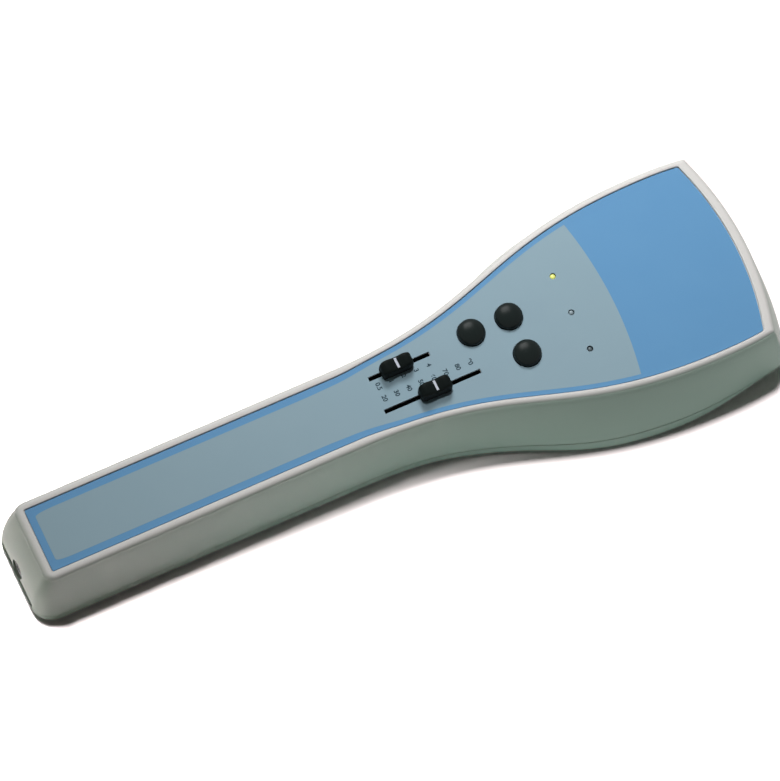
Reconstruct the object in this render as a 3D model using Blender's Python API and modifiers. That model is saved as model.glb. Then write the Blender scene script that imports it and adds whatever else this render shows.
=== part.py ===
"""Handheld screening audiometer: a slim handle, a control neck and a wide loudspeaker head.

Lengths are in metres. +X runs from the handle's end to the head, +Z is up out of the front
label, and the origin is under the middle of the bounding box, at the underside.
Depths are measured down from the top of the rim. Plan positions along X are measured from the
handle end of the front panel, and place() turns them into X.
"""

import math

import bmesh
import bpy
from mathutils import Matrix, Vector

# Shells
TOTAL_HEIGHT = 0.0405
PARTING_HEIGHT = 0.0065
WALL = 0.0024
PANEL_THICKNESS = 0.0020
PANEL_RECESS = 0.0013
HANDLE_RIM_ROUND = 0.0028
HEAD_RIM_ROUND = 0.0020
RIM_EDGE = 0.0004
FLOOR_ROUND_SHARE = 0.92
INNER_FLOOR_ROUND = 0.0010
LIP_HEIGHT = 0.0020
LIP_THICKNESS = 0.0012
CLEARANCE = 0.0003
CUT_OVERRUN = 0.0020

# Plan of the rim
HANDLE_HALF_WIDTH = 0.0174
HEAD_HALF_WIDTH = 0.0429
HEAD_CORNER_TAPER = 0.0013
HEAD_END_BULGE = 0.0067
HANDLE_CORNER_ROUND = 0.0040
HEAD_CORNER_ROUND = 0.0008
HEAD_CORNER_REACH = 0.0050
HANDLE_RIM = 0.0032
HEAD_SIDE_RIM = 0.0024
HEAD_END_RIM = 0.0040
HEAD_TAPER_LENGTH = 0.0213
NECK_LEAD = 0.0135
RIM_BLEND_LENGTH = 0.0200
HANDLE_END_SLOPE_SHARE = 0.185
HANDLE_END_BULGE_SHARE = 0.055
HANDLE_END_ROUND_SHARE = 0.74
HEAD_END_SLOPE_SHARE = 0.27
# How far the walls lean out, and how much of the largest floor round their lower edge has,
# at shares of the way from the neck's start to the head's corner
SIDE_SLOPE_SHARES = ((0.0, 0.128), (0.17, 0.130), (0.28, 0.165), (0.37, 0.190), (0.43, 0.215),
                     (0.50, 0.250), (0.57, 0.268), (0.66, 0.266), (0.75, 0.252), (0.82, 0.238),
                     (0.88, 0.208), (0.94, 0.180), (1.0, 0.160))
SIDE_ROUND_SHARES = ((0.0, 0.50), (0.40, 0.50), (0.58, 0.27), (0.80, 0.27), (0.90, 0.70),
                     (0.97, 1.0))
NECK_PULL_SHARE = 0.469
HEAD_PULL_SHARE = 0.485
HEAD_BARREL_SHARE = 0.45

# Battery bay
CELL_RADIUS = 0.00725
CELL_LENGTH = 0.0505
CELL_NUB_RADIUS = 0.00265
CELL_NUB_LENGTH = 0.0014
TRAY_START = 0.0045
TRAY_WALL = 0.0012
CONTACT_THICKNESS = 0.0004
CONTACT_HALF_WIDTH = 0.0055
SPRING_LENGTH = 0.0076
SPRING_RADIUS = 0.0036
SPRING_WIRE_RADIUS = 0.00035
SPRING_TURNS = 4

# Battery door and the slot above its end lip
DOOR_HALF_WIDTH = 0.0133
END_SLOT_MARGIN = 0.0012
DOOR_WEB = 0.0016
DOOR_TAB_REACH = 0.0012
DOOR_TAB_LENGTH = 0.0080
DOOR_TRAVEL = 0.0080
DOOR_END_MARGIN = 0.0030
DOOR_LIP_THICKNESS = 0.0030
END_SLOT_HEIGHT = 0.0052

# Socket in the handle's end
SOCKET_RISE = 0.0090
SOCKET_HOLE_RADIUS = 0.0043
SOCKET_BARREL_RADIUS = 0.0038
SOCKET_BORE_RADIUS = 0.0018
SOCKET_BODY_HALF_WIDTH = 0.0055
SOCKET_BODY_HALF_HEIGHT = 0.0048
SOCKET_BARREL_INSET = 0.0006

# Housing screws and their posts
SCREW_RADIUS = 0.0015
SCREW_HEAD_RADIUS = 0.0028
SCREW_HEAD_HEIGHT = 0.0020
SCREW_LENGTH = 0.0110
SCREW_SEAT_HEIGHT = 0.0115
POST_TOP_HEIGHT = 0.0140
LOWER_POST_RADIUS = 0.0042
UPPER_POST_RADIUS = 0.0036
NECK_SCREW_SETBACK = 0.0080
NECK_SCREW_SPREAD = 0.0110
THROAT_SCREW_SETBACK = 0.0150
HEAD_SCREW_SETBACK = 0.0077
HEAD_SCREW_INSET = 0.0088

# Circuit board
BOARD_DEPTH = 0.0120
BOARD_THICKNESS = 0.0016
BOARD_HALF_WIDTH = 0.0150
BOARD_SETBACK = 0.0083
BOARD_TAIL = 0.0090
BOARD_LED_MARGIN = 0.0042
BOARD_SCREW_RADIUS = 0.0010
BOARD_SCREW_HEAD_RADIUS = 0.0019
BOARD_SCREW_HEAD_HEIGHT = 0.0012
BOARD_SCREW_LENGTH = 0.0060
BOARD_POST_RADIUS = 0.0024
BOARD_POST_SPREAD = 0.0115
BOARD_POST_MARGIN = 0.0035

# Front controls
LABEL_THICKNESS = 0.00045
SLOT_SETBACK = 0.0115
SLOT_WIDTH = 0.0016
SHORT_SLOT_LENGTH = 0.0270
LONG_SLOT_LENGTH = 0.0428
SLIDER_SPREAD = 0.0076
LEVER_THICKNESS = 0.0010
LEVER_LENGTH = 0.0040
LEVER_PLUNGE = 0.0035
SHORT_REST_SHARE = 0.44
LONG_REST_SHARE = 0.525
POT_HALF_WIDTH = 0.0041
POT_END = 0.0040
KNOB_LENGTH = 0.0138
KNOB_WIDTH = 0.0060
KNOB_HEIGHT = 0.0063
KNOB_FLOAT = 0.0006
KNOB_BEVEL = 0.0005
KNOB_ROOF = 0.0025
KEY_RADIUS = 0.0057
KEY_EDGE_HEIGHT = 0.0006
KEY_DOME_HEIGHT = 0.0029
KEY_FLANGE = 0.0012
KEY_FLANGE_THICKNESS = 0.0010
KEY_STEM_RADIUS = 0.0016
KEY_TRAVEL = 0.0008
KEY_SPREAD = 0.0087
SELECT_SETBACK = 0.0036
KEY_PITCH = 0.0170
SWITCH_HALF_WIDTH = 0.0035
SWITCH_HEIGHT = 0.0046
STEM_ENGAGEMENT = 0.0016
LED_SETBACK = 0.0242
LED_PITCH = 0.0173
LED_RADIUS = 0.0011
LED_FLANGE_RADIUS = 0.0016
LED_BULB_LENGTH = 0.0045

# Loudspeaker and lamp in the head
SPEAKER_SETBACK = 0.0300
SPEAKER_RADIUS = 0.0330
SPEAKER_HEIGHT = 0.0210
SPEAKER_FLANGE = 0.0015
SPEAKER_SKIN = 0.0012
SPEAKER_FLANGE_WIDTH = 0.0062
BASKET_TOP_RADIUS = 0.0150
MAGNET_RADIUS = 0.0160
MAGNET_HEIGHT = 0.0060
CONE_THICKNESS = 0.0005
DUST_CAP_RADIUS = 0.0070
GASKET_WIDTH = 0.0030
GASKET_THICKNESS = 0.0010
CLOTH_THICKNESS = 0.0005
SPEAKER_SCREW_SETBACK = 0.0018
SPEAKER_SCREW_RADIUS = 0.0009
SPEAKER_SCREW_HEAD_RADIUS = 0.0016
GRILLE_HOLE_RADIUS = 0.0019
GRILLE_PITCH = 0.0066
GRILLE_RINGS = 3
LAMP_GAP = 0.0025
LAMP_FLANGE_RADIUS = 0.0050
LAMP_LENS_RADIUS = 0.0040
LAMP_BULB_RADIUS = 0.0025
LAMP_LENGTH = 0.0075
LAMP_FRONT_MARGIN = 0.0030

# Leads
LEAD_RADIUS = 0.0006
LEAD_SPREAD = 0.0020
LEAD_BEND = 0.0060

CORNER_STEPS = 4
NECK_STEPS = 13
HEAD_SIDE_STEPS = 4
HEAD_END_STEPS = 8
WALL_STEPS = 5
ROUND_STEPS = 3
LEAD_STEPS = 4
ROUND_SIDES = 24
SMALL_SIDES = 14
GRILLE_SIDES = 10
POST_SIDES = 16

# Positions along the plan, stacked from the handle's end
cells_start = TRAY_START + TRAY_WALL + CLEARANCE + CONTACT_THICKNESS + CLEARANCE
cells_end = cells_start + 2 * CELL_LENGTH + CLEARANCE
spring_end = cells_end + CLEARANCE + SPRING_LENGTH
tray_end = spring_end + CLEARANCE + CONTACT_THICKNESS + CLEARANCE + TRAY_WALL
neck_screw_x = tray_end + NECK_SCREW_SETBACK
board_start = neck_screw_x + UPPER_POST_RADIUS + BOARD_SETBACK
slot_start = board_start + SLOT_SETBACK
short_slot_end = slot_start + SHORT_SLOT_LENGTH
long_slot_end = slot_start + LONG_SLOT_LENGTH
select_x = long_slot_end + SELECT_SETBACK
pair_x = select_x + KEY_PITCH
led_x = pair_x + LED_SETBACK
board_end = led_x + BOARD_TAIL
speaker_x = led_x + SPEAKER_SETBACK
lamp_x = speaker_x + SPEAKER_RADIUS + LAMP_GAP + LAMP_FLANGE_RADIUS
head_corner_half_width = HEAD_HALF_WIDTH - HEAD_CORNER_TAPER
rim_apex_x = lamp_x + LAMP_FLANGE_RADIUS + LAMP_FRONT_MARGIN
rim_corner_x = rim_apex_x - HEAD_END_BULGE
head_widest_x = rim_corner_x - HEAD_TAPER_LENGTH
neck_start_x = slot_start - NECK_LEAD
throat_screw_x = led_x - THROAT_SCREW_SETBACK
head_screw_x = rim_corner_x - HEAD_SCREW_SETBACK
board_head_half_width = LED_PITCH + BOARD_LED_MARGIN
throat_screw_spread = board_head_half_width + CLEARANCE + LOWER_POST_RADIUS + WALL / 2
head_screw_spread = head_corner_half_width - HEAD_SCREW_INSET

# Heights
parting_depth = TOTAL_HEIGHT - PARTING_HEIGHT
largest_round = PARTING_HEIGHT * FLOOR_ROUND_SHARE
panel_floor = TOTAL_HEIGHT - PANEL_RECESS
panel_underside = panel_floor - PANEL_THICKNESS
label_base = panel_floor + CLEARANCE
label_top = label_base + LABEL_THICKNESS
board_top = TOTAL_HEIGHT - BOARD_DEPTH
board_base = board_top - BOARD_THICKNESS
door_top = WALL + CLEARANCE + DOOR_WEB
cell_height = door_top + CLEARANCE + CELL_RADIUS
tray_roof_base = cell_height + CELL_RADIUS + CLEARANCE
tray_roof_top = tray_roof_base + TRAY_WALL
socket_height = PARTING_HEIGHT + SOCKET_RISE
socket_depth = TOTAL_HEIGHT - socket_height

end_round = PARTING_HEIGHT * HANDLE_END_ROUND_SHARE
end_run = TOTAL_HEIGHT - end_round
end_lean = HANDLE_END_SLOPE_SHARE * end_run
end_bulge = HANDLE_END_BULGE_SHARE * end_run
widest_share = 0.5 + end_lean / (8 * end_bulge)
front_reach = rim_apex_x + HEAD_END_SLOPE_SHARE * (TOTAL_HEIGHT - largest_round)


def end_reach(depth):
    """How far the handle's end wall stands out from the front panel at a depth."""
    share = depth / end_run
    return HANDLE_RIM + end_lean * share + 4 * end_bulge * share * (1 - share)


back_reach = end_reach(end_run * widest_share)
plan_shift = (back_reach - front_reach) / 2


def place(plan_x):
    """X of a position measured from the handle end of the front panel."""
    return plan_x + plan_shift


def clear_scene():
    for old in list(bpy.data.objects):
        bpy.data.objects.remove(old, do_unlink=True)


def make_collection(name):
    collection = bpy.data.collections.new(name)
    bpy.context.scene.collection.children.link(collection)
    return collection


clear_scene()
PARTS = make_collection("audiometer")
CUTTERS = make_collection("cutters")


def make_material(name, colour, roughness, metallic=0.0):
    material = bpy.data.materials.new(name)
    material.use_nodes = True
    shader = material.node_tree.nodes["Principled BSDF"]
    shader.inputs["Base Color"].default_value = (*colour, 1.0)
    shader.inputs["Roughness"].default_value = roughness
    shader.inputs["Metallic"].default_value = metallic
    return material


def add_object(name, data, material=None, helper=False):
    """A new object; a helper is a cutter or a piece that is joined to a part."""
    item = bpy.data.objects.new(name, data)
    if helper:
        CUTTERS.objects.link(item)
        item.hide_render = True
        item.display_type = "WIRE"
        return item
    PARTS.objects.link(item)
    data.materials.append(material)
    return item


def finish_mesh(name, bm, material=None, helper=False, smooth=False):
    mesh = bpy.data.meshes.new(name)
    bmesh.ops.recalc_face_normals(bm, faces=bm.faces)
    bm.to_mesh(mesh)
    bm.free()
    if smooth:
        mesh.shade_smooth()
        mesh.set_sharp_from_angle(angle=math.radians(35))
    return add_object(name, mesh, material, helper)


def add_block(bm, low, high):
    """Adds a box between two corners to a mesh."""
    low, high = Vector(low), Vector(high)
    size = high - low
    matrix = Matrix.Translation((low + high) / 2) @ Matrix.Diagonal((*size, 1.0))
    bmesh.ops.create_cube(bm, size=1.0, matrix=matrix)


def add_rod(bm, radius, start, end, sides=POST_SIDES):
    """Adds a capped cylinder between two points to a mesh."""
    start, end = Vector(start), Vector(end)
    run = end - start
    turn = run.to_track_quat("Z", "Y").to_matrix().to_4x4()
    matrix = Matrix.Translation((start + end) / 2) @ turn
    bmesh.ops.create_cone(bm, cap_ends=True, segments=sides, radius1=radius, radius2=radius,
                          depth=run.length, matrix=matrix)


def block(name, low, high, material=None, helper=False):
    bm = bmesh.new()
    add_block(bm, low, high)
    return finish_mesh(name, bm, material, helper)


def cut(target, cutter):
    modifier = target.modifiers.new("cut_" + cutter.name, "BOOLEAN")
    modifier.operation = "DIFFERENCE"
    modifier.solver = "EXACT"
    modifier.object = cutter


def join(target, piece):
    modifier = target.modifiers.new("join_" + piece.name, "BOOLEAN")
    modifier.operation = "UNION"
    modifier.solver = "EXACT"
    modifier.object = piece


def keep_common(target, piece):
    modifier = target.modifiers.new("common_" + piece.name, "BOOLEAN")
    modifier.operation = "INTERSECT"
    modifier.solver = "EXACT"
    modifier.object = piece


def turned(name, profile, material, sides=ROUND_SIDES, location=(0, 0, 0), rotation=(0, 0, 0),
           helper=False):
    """A turned piece from (radius, height) points that run from the top down the outer side."""
    mesh = bpy.data.meshes.new(name)
    points = [(radius, 0, height) for radius, height in profile]
    edges = [(i, i + 1) for i in range(len(points) - 1)]
    if profile[0][0] > 0:
        edges.append((len(points) - 1, 0))
    mesh.from_pydata(points, edges, [])
    item = add_object(name, mesh, material, helper)
    item.location = location
    item.rotation_euler = rotation
    screw = item.modifiers.new("turn", "SCREW")
    screw.steps = sides
    screw.render_steps = sides
    screw.use_merge_vertices = True
    screw.merge_threshold = 0.00001
    return item


def flat_shape(name, points, thickness, matrix, material=None, helper=False):
    """A flat outline drawn as a filled curve, given its thickness and made a mesh."""
    data = bpy.data.curves.new(name + "_outline", "CURVE")
    data.dimensions = "2D"
    data.fill_mode = "BOTH"
    data.extrude = thickness / 2
    spline = data.splines.new("POLY")
    spline.points.add(len(points) - 1)
    for point, (x, y) in zip(spline.points, points):
        point.co = (x, y, 0, 1)
    spline.use_cyclic_u = True
    outline = bpy.data.objects.new(name + "_outline", data)
    CUTTERS.objects.link(outline)
    outline.matrix_world = matrix
    bpy.context.view_layer.update()
    graph = bpy.context.evaluated_depsgraph_get()
    mesh = bpy.data.meshes.new_from_object(outline.evaluated_get(graph))
    bm = bmesh.new()
    bm.from_mesh(mesh)
    bpy.data.meshes.remove(mesh)
    bmesh.ops.remove_doubles(bm, verts=bm.verts, dist=0.00001)
    item = finish_mesh(name, bm, material, helper)
    item.matrix_world = outline.matrix_world.copy()
    bpy.data.objects.remove(outline)
    return item


def wire(name, points, radius, material, bevel_resolution=2):
    data = bpy.data.curves.new(name, "CURVE")
    data.dimensions = "3D"
    data.bevel_depth = radius
    data.bevel_resolution = bevel_resolution
    data.use_fill_caps = True
    spline = data.splines.new("POLY")
    spline.points.add(len(points) - 1)
    for point, position in zip(spline.points, points):
        point.co = (*position, 1)
    return add_object(name, data, material)


def eased_route(corners):
    """A lead's route, with each of its corners rounded by a short curve."""
    corners = [Vector(corner) for corner in corners]
    points = [corners[0]]
    for before, corner, after in zip(corners, corners[1:], corners[2:]):
        back, ahead = before - corner, after - corner
        start = corner + back.normalized() * min(LEAD_BEND, back.length * 0.45)
        end = corner + ahead.normalized() * min(LEAD_BEND, ahead.length * 0.45)
        for step in range(LEAD_STEPS + 1):
            t = step / LEAD_STEPS
            points.append(start.lerp(corner, t).lerp(corner.lerp(end, t), t))
    points.append(corners[-1])
    return points


def bezier(points, steps):
    """Points along a curve drawn by two, three or four control points, without its last."""
    result = []
    for step in range(steps):
        t = step / steps
        level = [Vector(point) for point in points]
        while len(level) > 1:
            level = [a.lerp(b, t) for a, b in zip(level, level[1:])]
        result.append(level[0])
    return result


def smooth_step(value):
    value = min(max(value, 0.0), 1.0)
    return value * value * (3 - 2 * value)


def half_outline():
    """The rim's outer edge from the middle of the head's end to the middle of the handle's."""
    end_radius = (head_corner_half_width ** 2 + HEAD_END_BULGE ** 2) / (2 * HEAD_END_BULGE)
    corner_angle = math.asin(head_corner_half_width / end_radius)
    trimmed_angle = corner_angle - HEAD_CORNER_REACH / end_radius
    centre_x = rim_apex_x - end_radius
    points = []
    for step in range(HEAD_END_STEPS):
        angle = trimmed_angle * step / HEAD_END_STEPS
        points.append(Vector((centre_x + end_radius * math.cos(angle),
                              end_radius * math.sin(angle))))
    corner = Vector((rim_corner_x, head_corner_half_width))
    barrel_x = rim_corner_x - HEAD_TAPER_LENGTH * (1 - HEAD_BARREL_SHARE)
    barrel = Vector((barrel_x, HEAD_HALF_WIDTH))
    widest = Vector((head_widest_x, HEAD_HALF_WIDTH))
    before = corner + (barrel - corner).normalized() * HEAD_CORNER_REACH
    after = Vector((centre_x + end_radius * math.cos(trimmed_angle),
                    end_radius * math.sin(trimmed_angle)))
    points += bezier([after, corner, before], CORNER_STEPS)
    points += bezier([before, barrel, widest], HEAD_SIDE_STEPS)
    neck_run = head_widest_x - neck_start_x
    neck = Vector((neck_start_x, HANDLE_HALF_WIDTH))
    head_pull = Vector((head_widest_x - neck_run * HEAD_PULL_SHARE, HEAD_HALF_WIDTH))
    neck_pull = Vector((neck_start_x + neck_run * NECK_PULL_SHARE, HANDLE_HALF_WIDTH))
    points += bezier([widest, head_pull, neck_pull, neck], NECK_STEPS)
    points.append(neck)
    round_centre = Vector((HANDLE_CORNER_ROUND - HANDLE_RIM,
                           HANDLE_HALF_WIDTH - HANDLE_CORNER_ROUND))
    for step in range(CORNER_STEPS + 1):
        angle = math.pi / 2 * (1 + step / CORNER_STEPS)
        points.append(round_centre + HANDLE_CORNER_ROUND
                      * Vector((math.cos(angle), math.sin(angle))))
    points.append(Vector((-HANDLE_RIM, 0)))
    return points


def table_value(table, share):
    """The value of a table at a share of its run, on straight lines between its rows."""
    for (first, low), (second, high) in zip(table, table[1:]):
        if share <= second:
            return low + (high - low) * max(0.0, (share - first) / (second - first))
    return table[-1][1]


def full_outline():
    """Each outline point with its outward direction and the shape of the wall there: its slope
    and bulge, the rim's width, the round of the rim's shoulder and the round at the floor."""
    upper = half_outline()
    lower = [Vector((point.x, -point.y)) for point in reversed(upper[1:-1])]
    points = upper + lower
    result = []
    for i, point in enumerate(points):
        first = (point - points[i - 1]).normalized()
        second = (points[(i + 1) % len(points)] - point).normalized()
        normals = [Vector((edge.y, -edge.x)) for edge in (first, second)]
        outward = (normals[0] + normals[1]) / (1 + normals[0].dot(normals[1]))
        share = (point.x - neck_start_x) / (rim_corner_x - neck_start_x)
        slope = table_value(SIDE_SLOPE_SHARES, share)
        blend = smooth_step((point.x - neck_start_x) / RIM_BLEND_LENGTH)
        rim = HANDLE_RIM + (HEAD_SIDE_RIM - HANDLE_RIM) * blend
        shoulder = HANDLE_RIM_ROUND + (HEAD_RIM_ROUND - HANDLE_RIM_ROUND) * blend
        floor_round = largest_round * table_value(SIDE_ROUND_SHARES, share)
        if share > 1.0:
            slope, rim = HEAD_END_SLOPE_SHARE, HEAD_END_RIM
        facing = min(1.0, max(0.0, -outward.x) ** 2) if share < 0.0 else 0.0
        slope += (HANDLE_END_SLOPE_SHARE - slope) * facing
        floor_round += (end_round - floor_round) * facing
        result.append((Vector((place(point.x), point.y)), outward, slope,
                       end_bulge * facing, rim, shoulder, floor_round))
    return result


OUTLINE = full_outline()
corner_end = HEAD_END_STEPS + CORNER_STEPS
HEAD_CORNERS = ((HEAD_END_STEPS, corner_end),
                (len(OUTLINE) - corner_end, len(OUTLINE) - HEAD_END_STEPS))


def moved_outline(reaches):
    """The outline moved outwards by a reach at each point. Each corner of the head is drawn
    afresh where the moved end and side meet, so that it stays sharp at any reach."""
    points = [row[0] + row[1] * reach for row, reach in zip(OUTLINE, reaches)]
    for first, last in HEAD_CORNERS:
        start, end = points[first], points[last]
        ahead = (start - points[first - 1]).normalized()
        back = (end - points[last + 1]).normalized()
        corner = start + ahead * ((end - start).cross(back) / ahead.cross(back))
        arms = [corner - ahead * HEAD_CORNER_ROUND, corner, corner - back * HEAD_CORNER_ROUND]
        points[first + 1:last] = bezier(arms, CORNER_STEPS - 2) + [arms[-1]]
    return points


def wall_reach(depth, slope, bulge, floor_round):
    """How far the wall stands out from the rim's edge at a depth."""
    run = TOTAL_HEIGHT - floor_round
    share = min(1.0, depth / run)
    return slope * run * share + 4 * bulge * share * (1 - share)


def uneven_ring(reaches, heights):
    """The outline with a reach and a height of its own at each point."""
    return [(*point, height) for point, height in zip(moved_outline(reaches), heights)]


def ring(depth, inset=0.0):
    """The outline at a depth on the sloping wall, moved in by an inset."""
    reaches = [wall_reach(depth, slope, bulge, floor_round) - inset
               for position, outward, slope, bulge, rim, shoulder, floor_round in OUTLINE]
    return [(*point, TOTAL_HEIGHT - depth) for point in moved_outline(reaches)]


def panel_ring(depth, inset=0.0):
    """The outline of the recessed panel, whose walls are upright."""
    reaches = [-rim - inset for position, outward, slope, bulge, rim, *_ in OUTLINE]
    return [(*point, TOTAL_HEIGHT - depth) for point in moved_outline(reaches)]


def loft(name, rings, material=None, helper=False, smooth=True):
    """A closed body from rings of points, its first and last ring covered by strips across."""
    bm = bmesh.new()
    loops = [[bm.verts.new(point) for point in points] for points in rings]
    for cap in (loops[0], loops[-1]):
        middle = len(cap) // 2
        bm.faces.new((cap[-1], cap[0], cap[1]))
        for i in range(1, middle - 2):
            bm.faces.new((cap[i], cap[i + 1], cap[-i - 1], cap[-i]))
        bm.faces.new(cap[middle - 2:middle + 3])
    for first, second in zip(loops, loops[1:]):
        for i in range(len(first)):
            bm.faces.new((first[i - 1], first[i], second[i], second[i - 1]))
    return finish_mesh(name, bm, material, helper, smooth)


def rim_rings():
    """The rim from the panel's edge, over its round shoulder, to the sloping wall."""
    rings = [panel_ring(PANEL_RECESS), panel_ring(RIM_EDGE), panel_ring(0.0, -RIM_EDGE)]
    for step in range(ROUND_STEPS + 1):
        angle = math.pi / 2 * step / ROUND_STEPS
        reaches, heights = [], []
        for position, outward, slope, bulge, rim, shoulder, floor_round in OUTLINE:
            depth = shoulder * (1 - math.cos(angle))
            reaches.append(wall_reach(depth, slope, bulge, floor_round)
                           - shoulder * (1 - math.sin(angle)))
            heights.append(TOTAL_HEIGHT - depth)
        rings.append(uneven_ring(reaches, heights))
    return rings


def floor_rings(wall, floor_height, inner_round=None):
    """The rounded edge between the wall and the floor, from the floor outwards."""
    rings = []
    for step in range(ROUND_STEPS + 1):
        angle = math.pi / 2 * step / ROUND_STEPS
        reaches, heights = [], []
        for position, outward, slope, bulge, rim, shoulder, floor_round in OUTLINE:
            radius = inner_round or floor_round
            height = floor_height + radius * (1 - math.cos(angle))
            reach = wall_reach(TOTAL_HEIGHT - max(height, floor_round), slope, bulge, floor_round)
            reaches.append(reach - wall - radius * (1 - math.sin(angle)))
            heights.append(height)
        rings.append(uneven_ring(reaches, heights))
    return rings


SHELL_GREY = make_material("shell_grey", (0.60, 0.62, 0.57), 0.45)
LABEL_BLUE = make_material("label_blue", (0.23, 0.36, 0.47), 0.40)
KEY_BLACK = make_material("key_black", (0.012, 0.014, 0.014), 0.35)
BOARD_GREEN = make_material("board_green", (0.02, 0.12, 0.05), 0.50)
PART_BLACK = make_material("part_black", (0.02, 0.02, 0.02), 0.55)
STEEL = make_material("steel", (0.60, 0.60, 0.58), 0.30, 1.0)
TRAY_GREY = make_material("tray_grey", (0.10, 0.10, 0.10), 0.55)
CELL_WRAP = make_material("cell_wrap", (0.55, 0.42, 0.12), 0.35, 0.6)
PAPER_CONE = make_material("paper_cone", (0.03, 0.03, 0.03), 0.90)
CLOTH_BLACK = make_material("cloth_black", (0.02, 0.02, 0.02), 0.95)
RUBBER = make_material("gasket_rubber", (0.03, 0.03, 0.03), 0.85)
LED_CLEAR = make_material("led_clear", (0.45, 0.48, 0.46), 0.20)
LED_LIT = make_material("led_lit", (0.62, 0.85, 0.10), 0.20)
LENS_CLEAR = make_material("lens_clear", (0.80, 0.80, 0.78), 0.10)
LEAD_RED = make_material("lead_red", (0.45, 0.02, 0.02), 0.50)
LEAD_BLACK = make_material("lead_black", (0.02, 0.02, 0.02), 0.50)

HOUSING_SCREWS = [(neck_screw_x, NECK_SCREW_SPREAD), (throat_screw_x, throat_screw_spread),
                  (head_screw_x, head_screw_spread)]
HOUSING_SCREWS = [(x, side * y) for x, y in HOUSING_SCREWS for side in (1, -1)]
board_post_xs = (board_start + BOARD_POST_MARGIN, board_end - BOARD_POST_MARGIN)
BOARD_POSTS = [(board_post_xs[0], BOARD_POST_SPREAD), (board_post_xs[0], -BOARD_POST_SPREAD),
               (board_post_xs[1], LED_PITCH / 2), (board_post_xs[1], -LED_PITCH / 2)]
KEYS = {"key_select": (select_x, KEY_SPREAD), "key_light": (pair_x, KEY_SPREAD),
        "key_stimulus": (pair_x, -KEY_SPREAD)}
SLIDERS = {"short": (SHORT_SLOT_LENGTH, SHORT_REST_SHARE, SLIDER_SPREAD),
           "long": (LONG_SLOT_LENGTH, LONG_REST_SHARE, -SLIDER_SPREAD)}
TRAY_PROPS = [cells_start + CELL_LENGTH / 2, cells_start + CELL_LENGTH * 3 / 2]


def slot_cutter(name, width_margin, low, high):
    """Slots for both slide levers, as one cutter."""
    bm = bmesh.new()
    half = SLOT_WIDTH / 2 + width_margin
    for length, _, y in SLIDERS.values():
        add_block(bm, (place(slot_start) - width_margin, y - half, low),
                  (place(slot_start + length) + width_margin, y + half, high))
    return finish_mesh(name, bm, helper=True)


def front_holes(name, margin, low, high):
    """Holes for the keys and the indicator lamps, as one cutter."""
    bm = bmesh.new()
    for x, y in KEYS.values():
        add_rod(bm, KEY_RADIUS + margin, (place(x), y, low), (place(x), y, high), ROUND_SIDES)
    for side in (-1, 0, 1):
        y = side * LED_PITCH
        add_rod(bm, LED_RADIUS + margin, (place(led_x), y, low), (place(led_x), y, high),
                POST_SIDES)
    return finish_mesh(name, bm, helper=True)


def end_opening():
    """The slot over the battery door's lip and the socket's round hole, in the end wall."""
    bm = bmesh.new()
    outside = place(-back_reach) - CUT_OVERRUN
    inside = place(-HANDLE_RIM)
    half = DOOR_HALF_WIDTH + CLEARANCE + END_SLOT_MARGIN
    add_block(bm, (outside, -half, PARTING_HEIGHT - CUT_OVERRUN),
              (inside, half, PARTING_HEIGHT + END_SLOT_HEIGHT))
    slot = finish_mesh("end_slot_cutter", bm, helper=True)
    bm = bmesh.new()
    add_rod(bm, SOCKET_HOLE_RADIUS, (outside, 0, socket_height), (inside, 0, socket_height),
            ROUND_SIDES)
    return slot, finish_mesh("socket_hole_cutter", bm, helper=True)


def make_upper_shell():
    depths = [parting_depth * step / WALL_STEPS for step in range(1, WALL_STEPS + 1)]
    rings = rim_rings() + [ring(depth) for depth in depths]
    rings += [ring(depth, WALL) for depth in reversed(depths)]
    rings.append(ring(PANEL_RECESS + PANEL_THICKNESS, WALL))
    shell = loft("upper_shell", rings, SHELL_GREY)
    embed = panel_underside + PANEL_THICKNESS / 2
    posts = bmesh.new()
    holes = bmesh.new()
    for x, y in HOUSING_SCREWS:
        base = POST_TOP_HEIGHT + CLEARANCE
        add_rod(posts, UPPER_POST_RADIUS, (place(x), y, base), (place(x), y, embed))
        top = SCREW_SEAT_HEIGHT + SCREW_LENGTH + CLEARANCE
        add_rod(holes, SCREW_RADIUS + CLEARANCE, (place(x), y, base - CUT_OVERRUN),
                (place(x), y, top), SMALL_SIDES)
    for x, y in BOARD_POSTS:
        base = board_top + CLEARANCE
        add_rod(posts, BOARD_POST_RADIUS, (place(x), y, base), (place(x), y, embed))
        top = board_base + BOARD_SCREW_LENGTH + CLEARANCE
        add_rod(holes, BOARD_SCREW_RADIUS + CLEARANCE, (place(x), y, base - CUT_OVERRUN),
                (place(x), y, top), SMALL_SIDES)
    for x in TRAY_PROPS:
        add_rod(posts, BOARD_POST_RADIUS, (place(x), 0, tray_roof_top + CLEARANCE),
                (place(x), 0, embed))
    join(shell, finish_mesh("upper_posts", posts, helper=True))
    cut(shell, finish_mesh("upper_post_holes", holes, helper=True))
    low = panel_underside - CUT_OVERRUN / 2
    high = TOTAL_HEIGHT + CUT_OVERRUN
    cut(shell, slot_cutter("panel_slot_cutter", 0.0, low, high))
    cut(shell, front_holes("panel_hole_cutter", CLEARANCE, low, high))
    for cutter in end_opening():
        cut(shell, cutter)
    return shell


def make_label():
    label = loft("front_label", [panel_ring(TOTAL_HEIGHT - label_top, CLEARANCE),
                                 panel_ring(TOTAL_HEIGHT - label_base, CLEARANCE)],
                 LABEL_BLUE, smooth=False)
    low, high = label_base - CLEARANCE, TOTAL_HEIGHT + CUT_OVERRUN
    cut(label, slot_cutter("label_slot_cutter", CLEARANCE / 2, low, high))
    cut(label, front_holes("label_hole_cutter", CLEARANCE, low, high))
    return label


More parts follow.
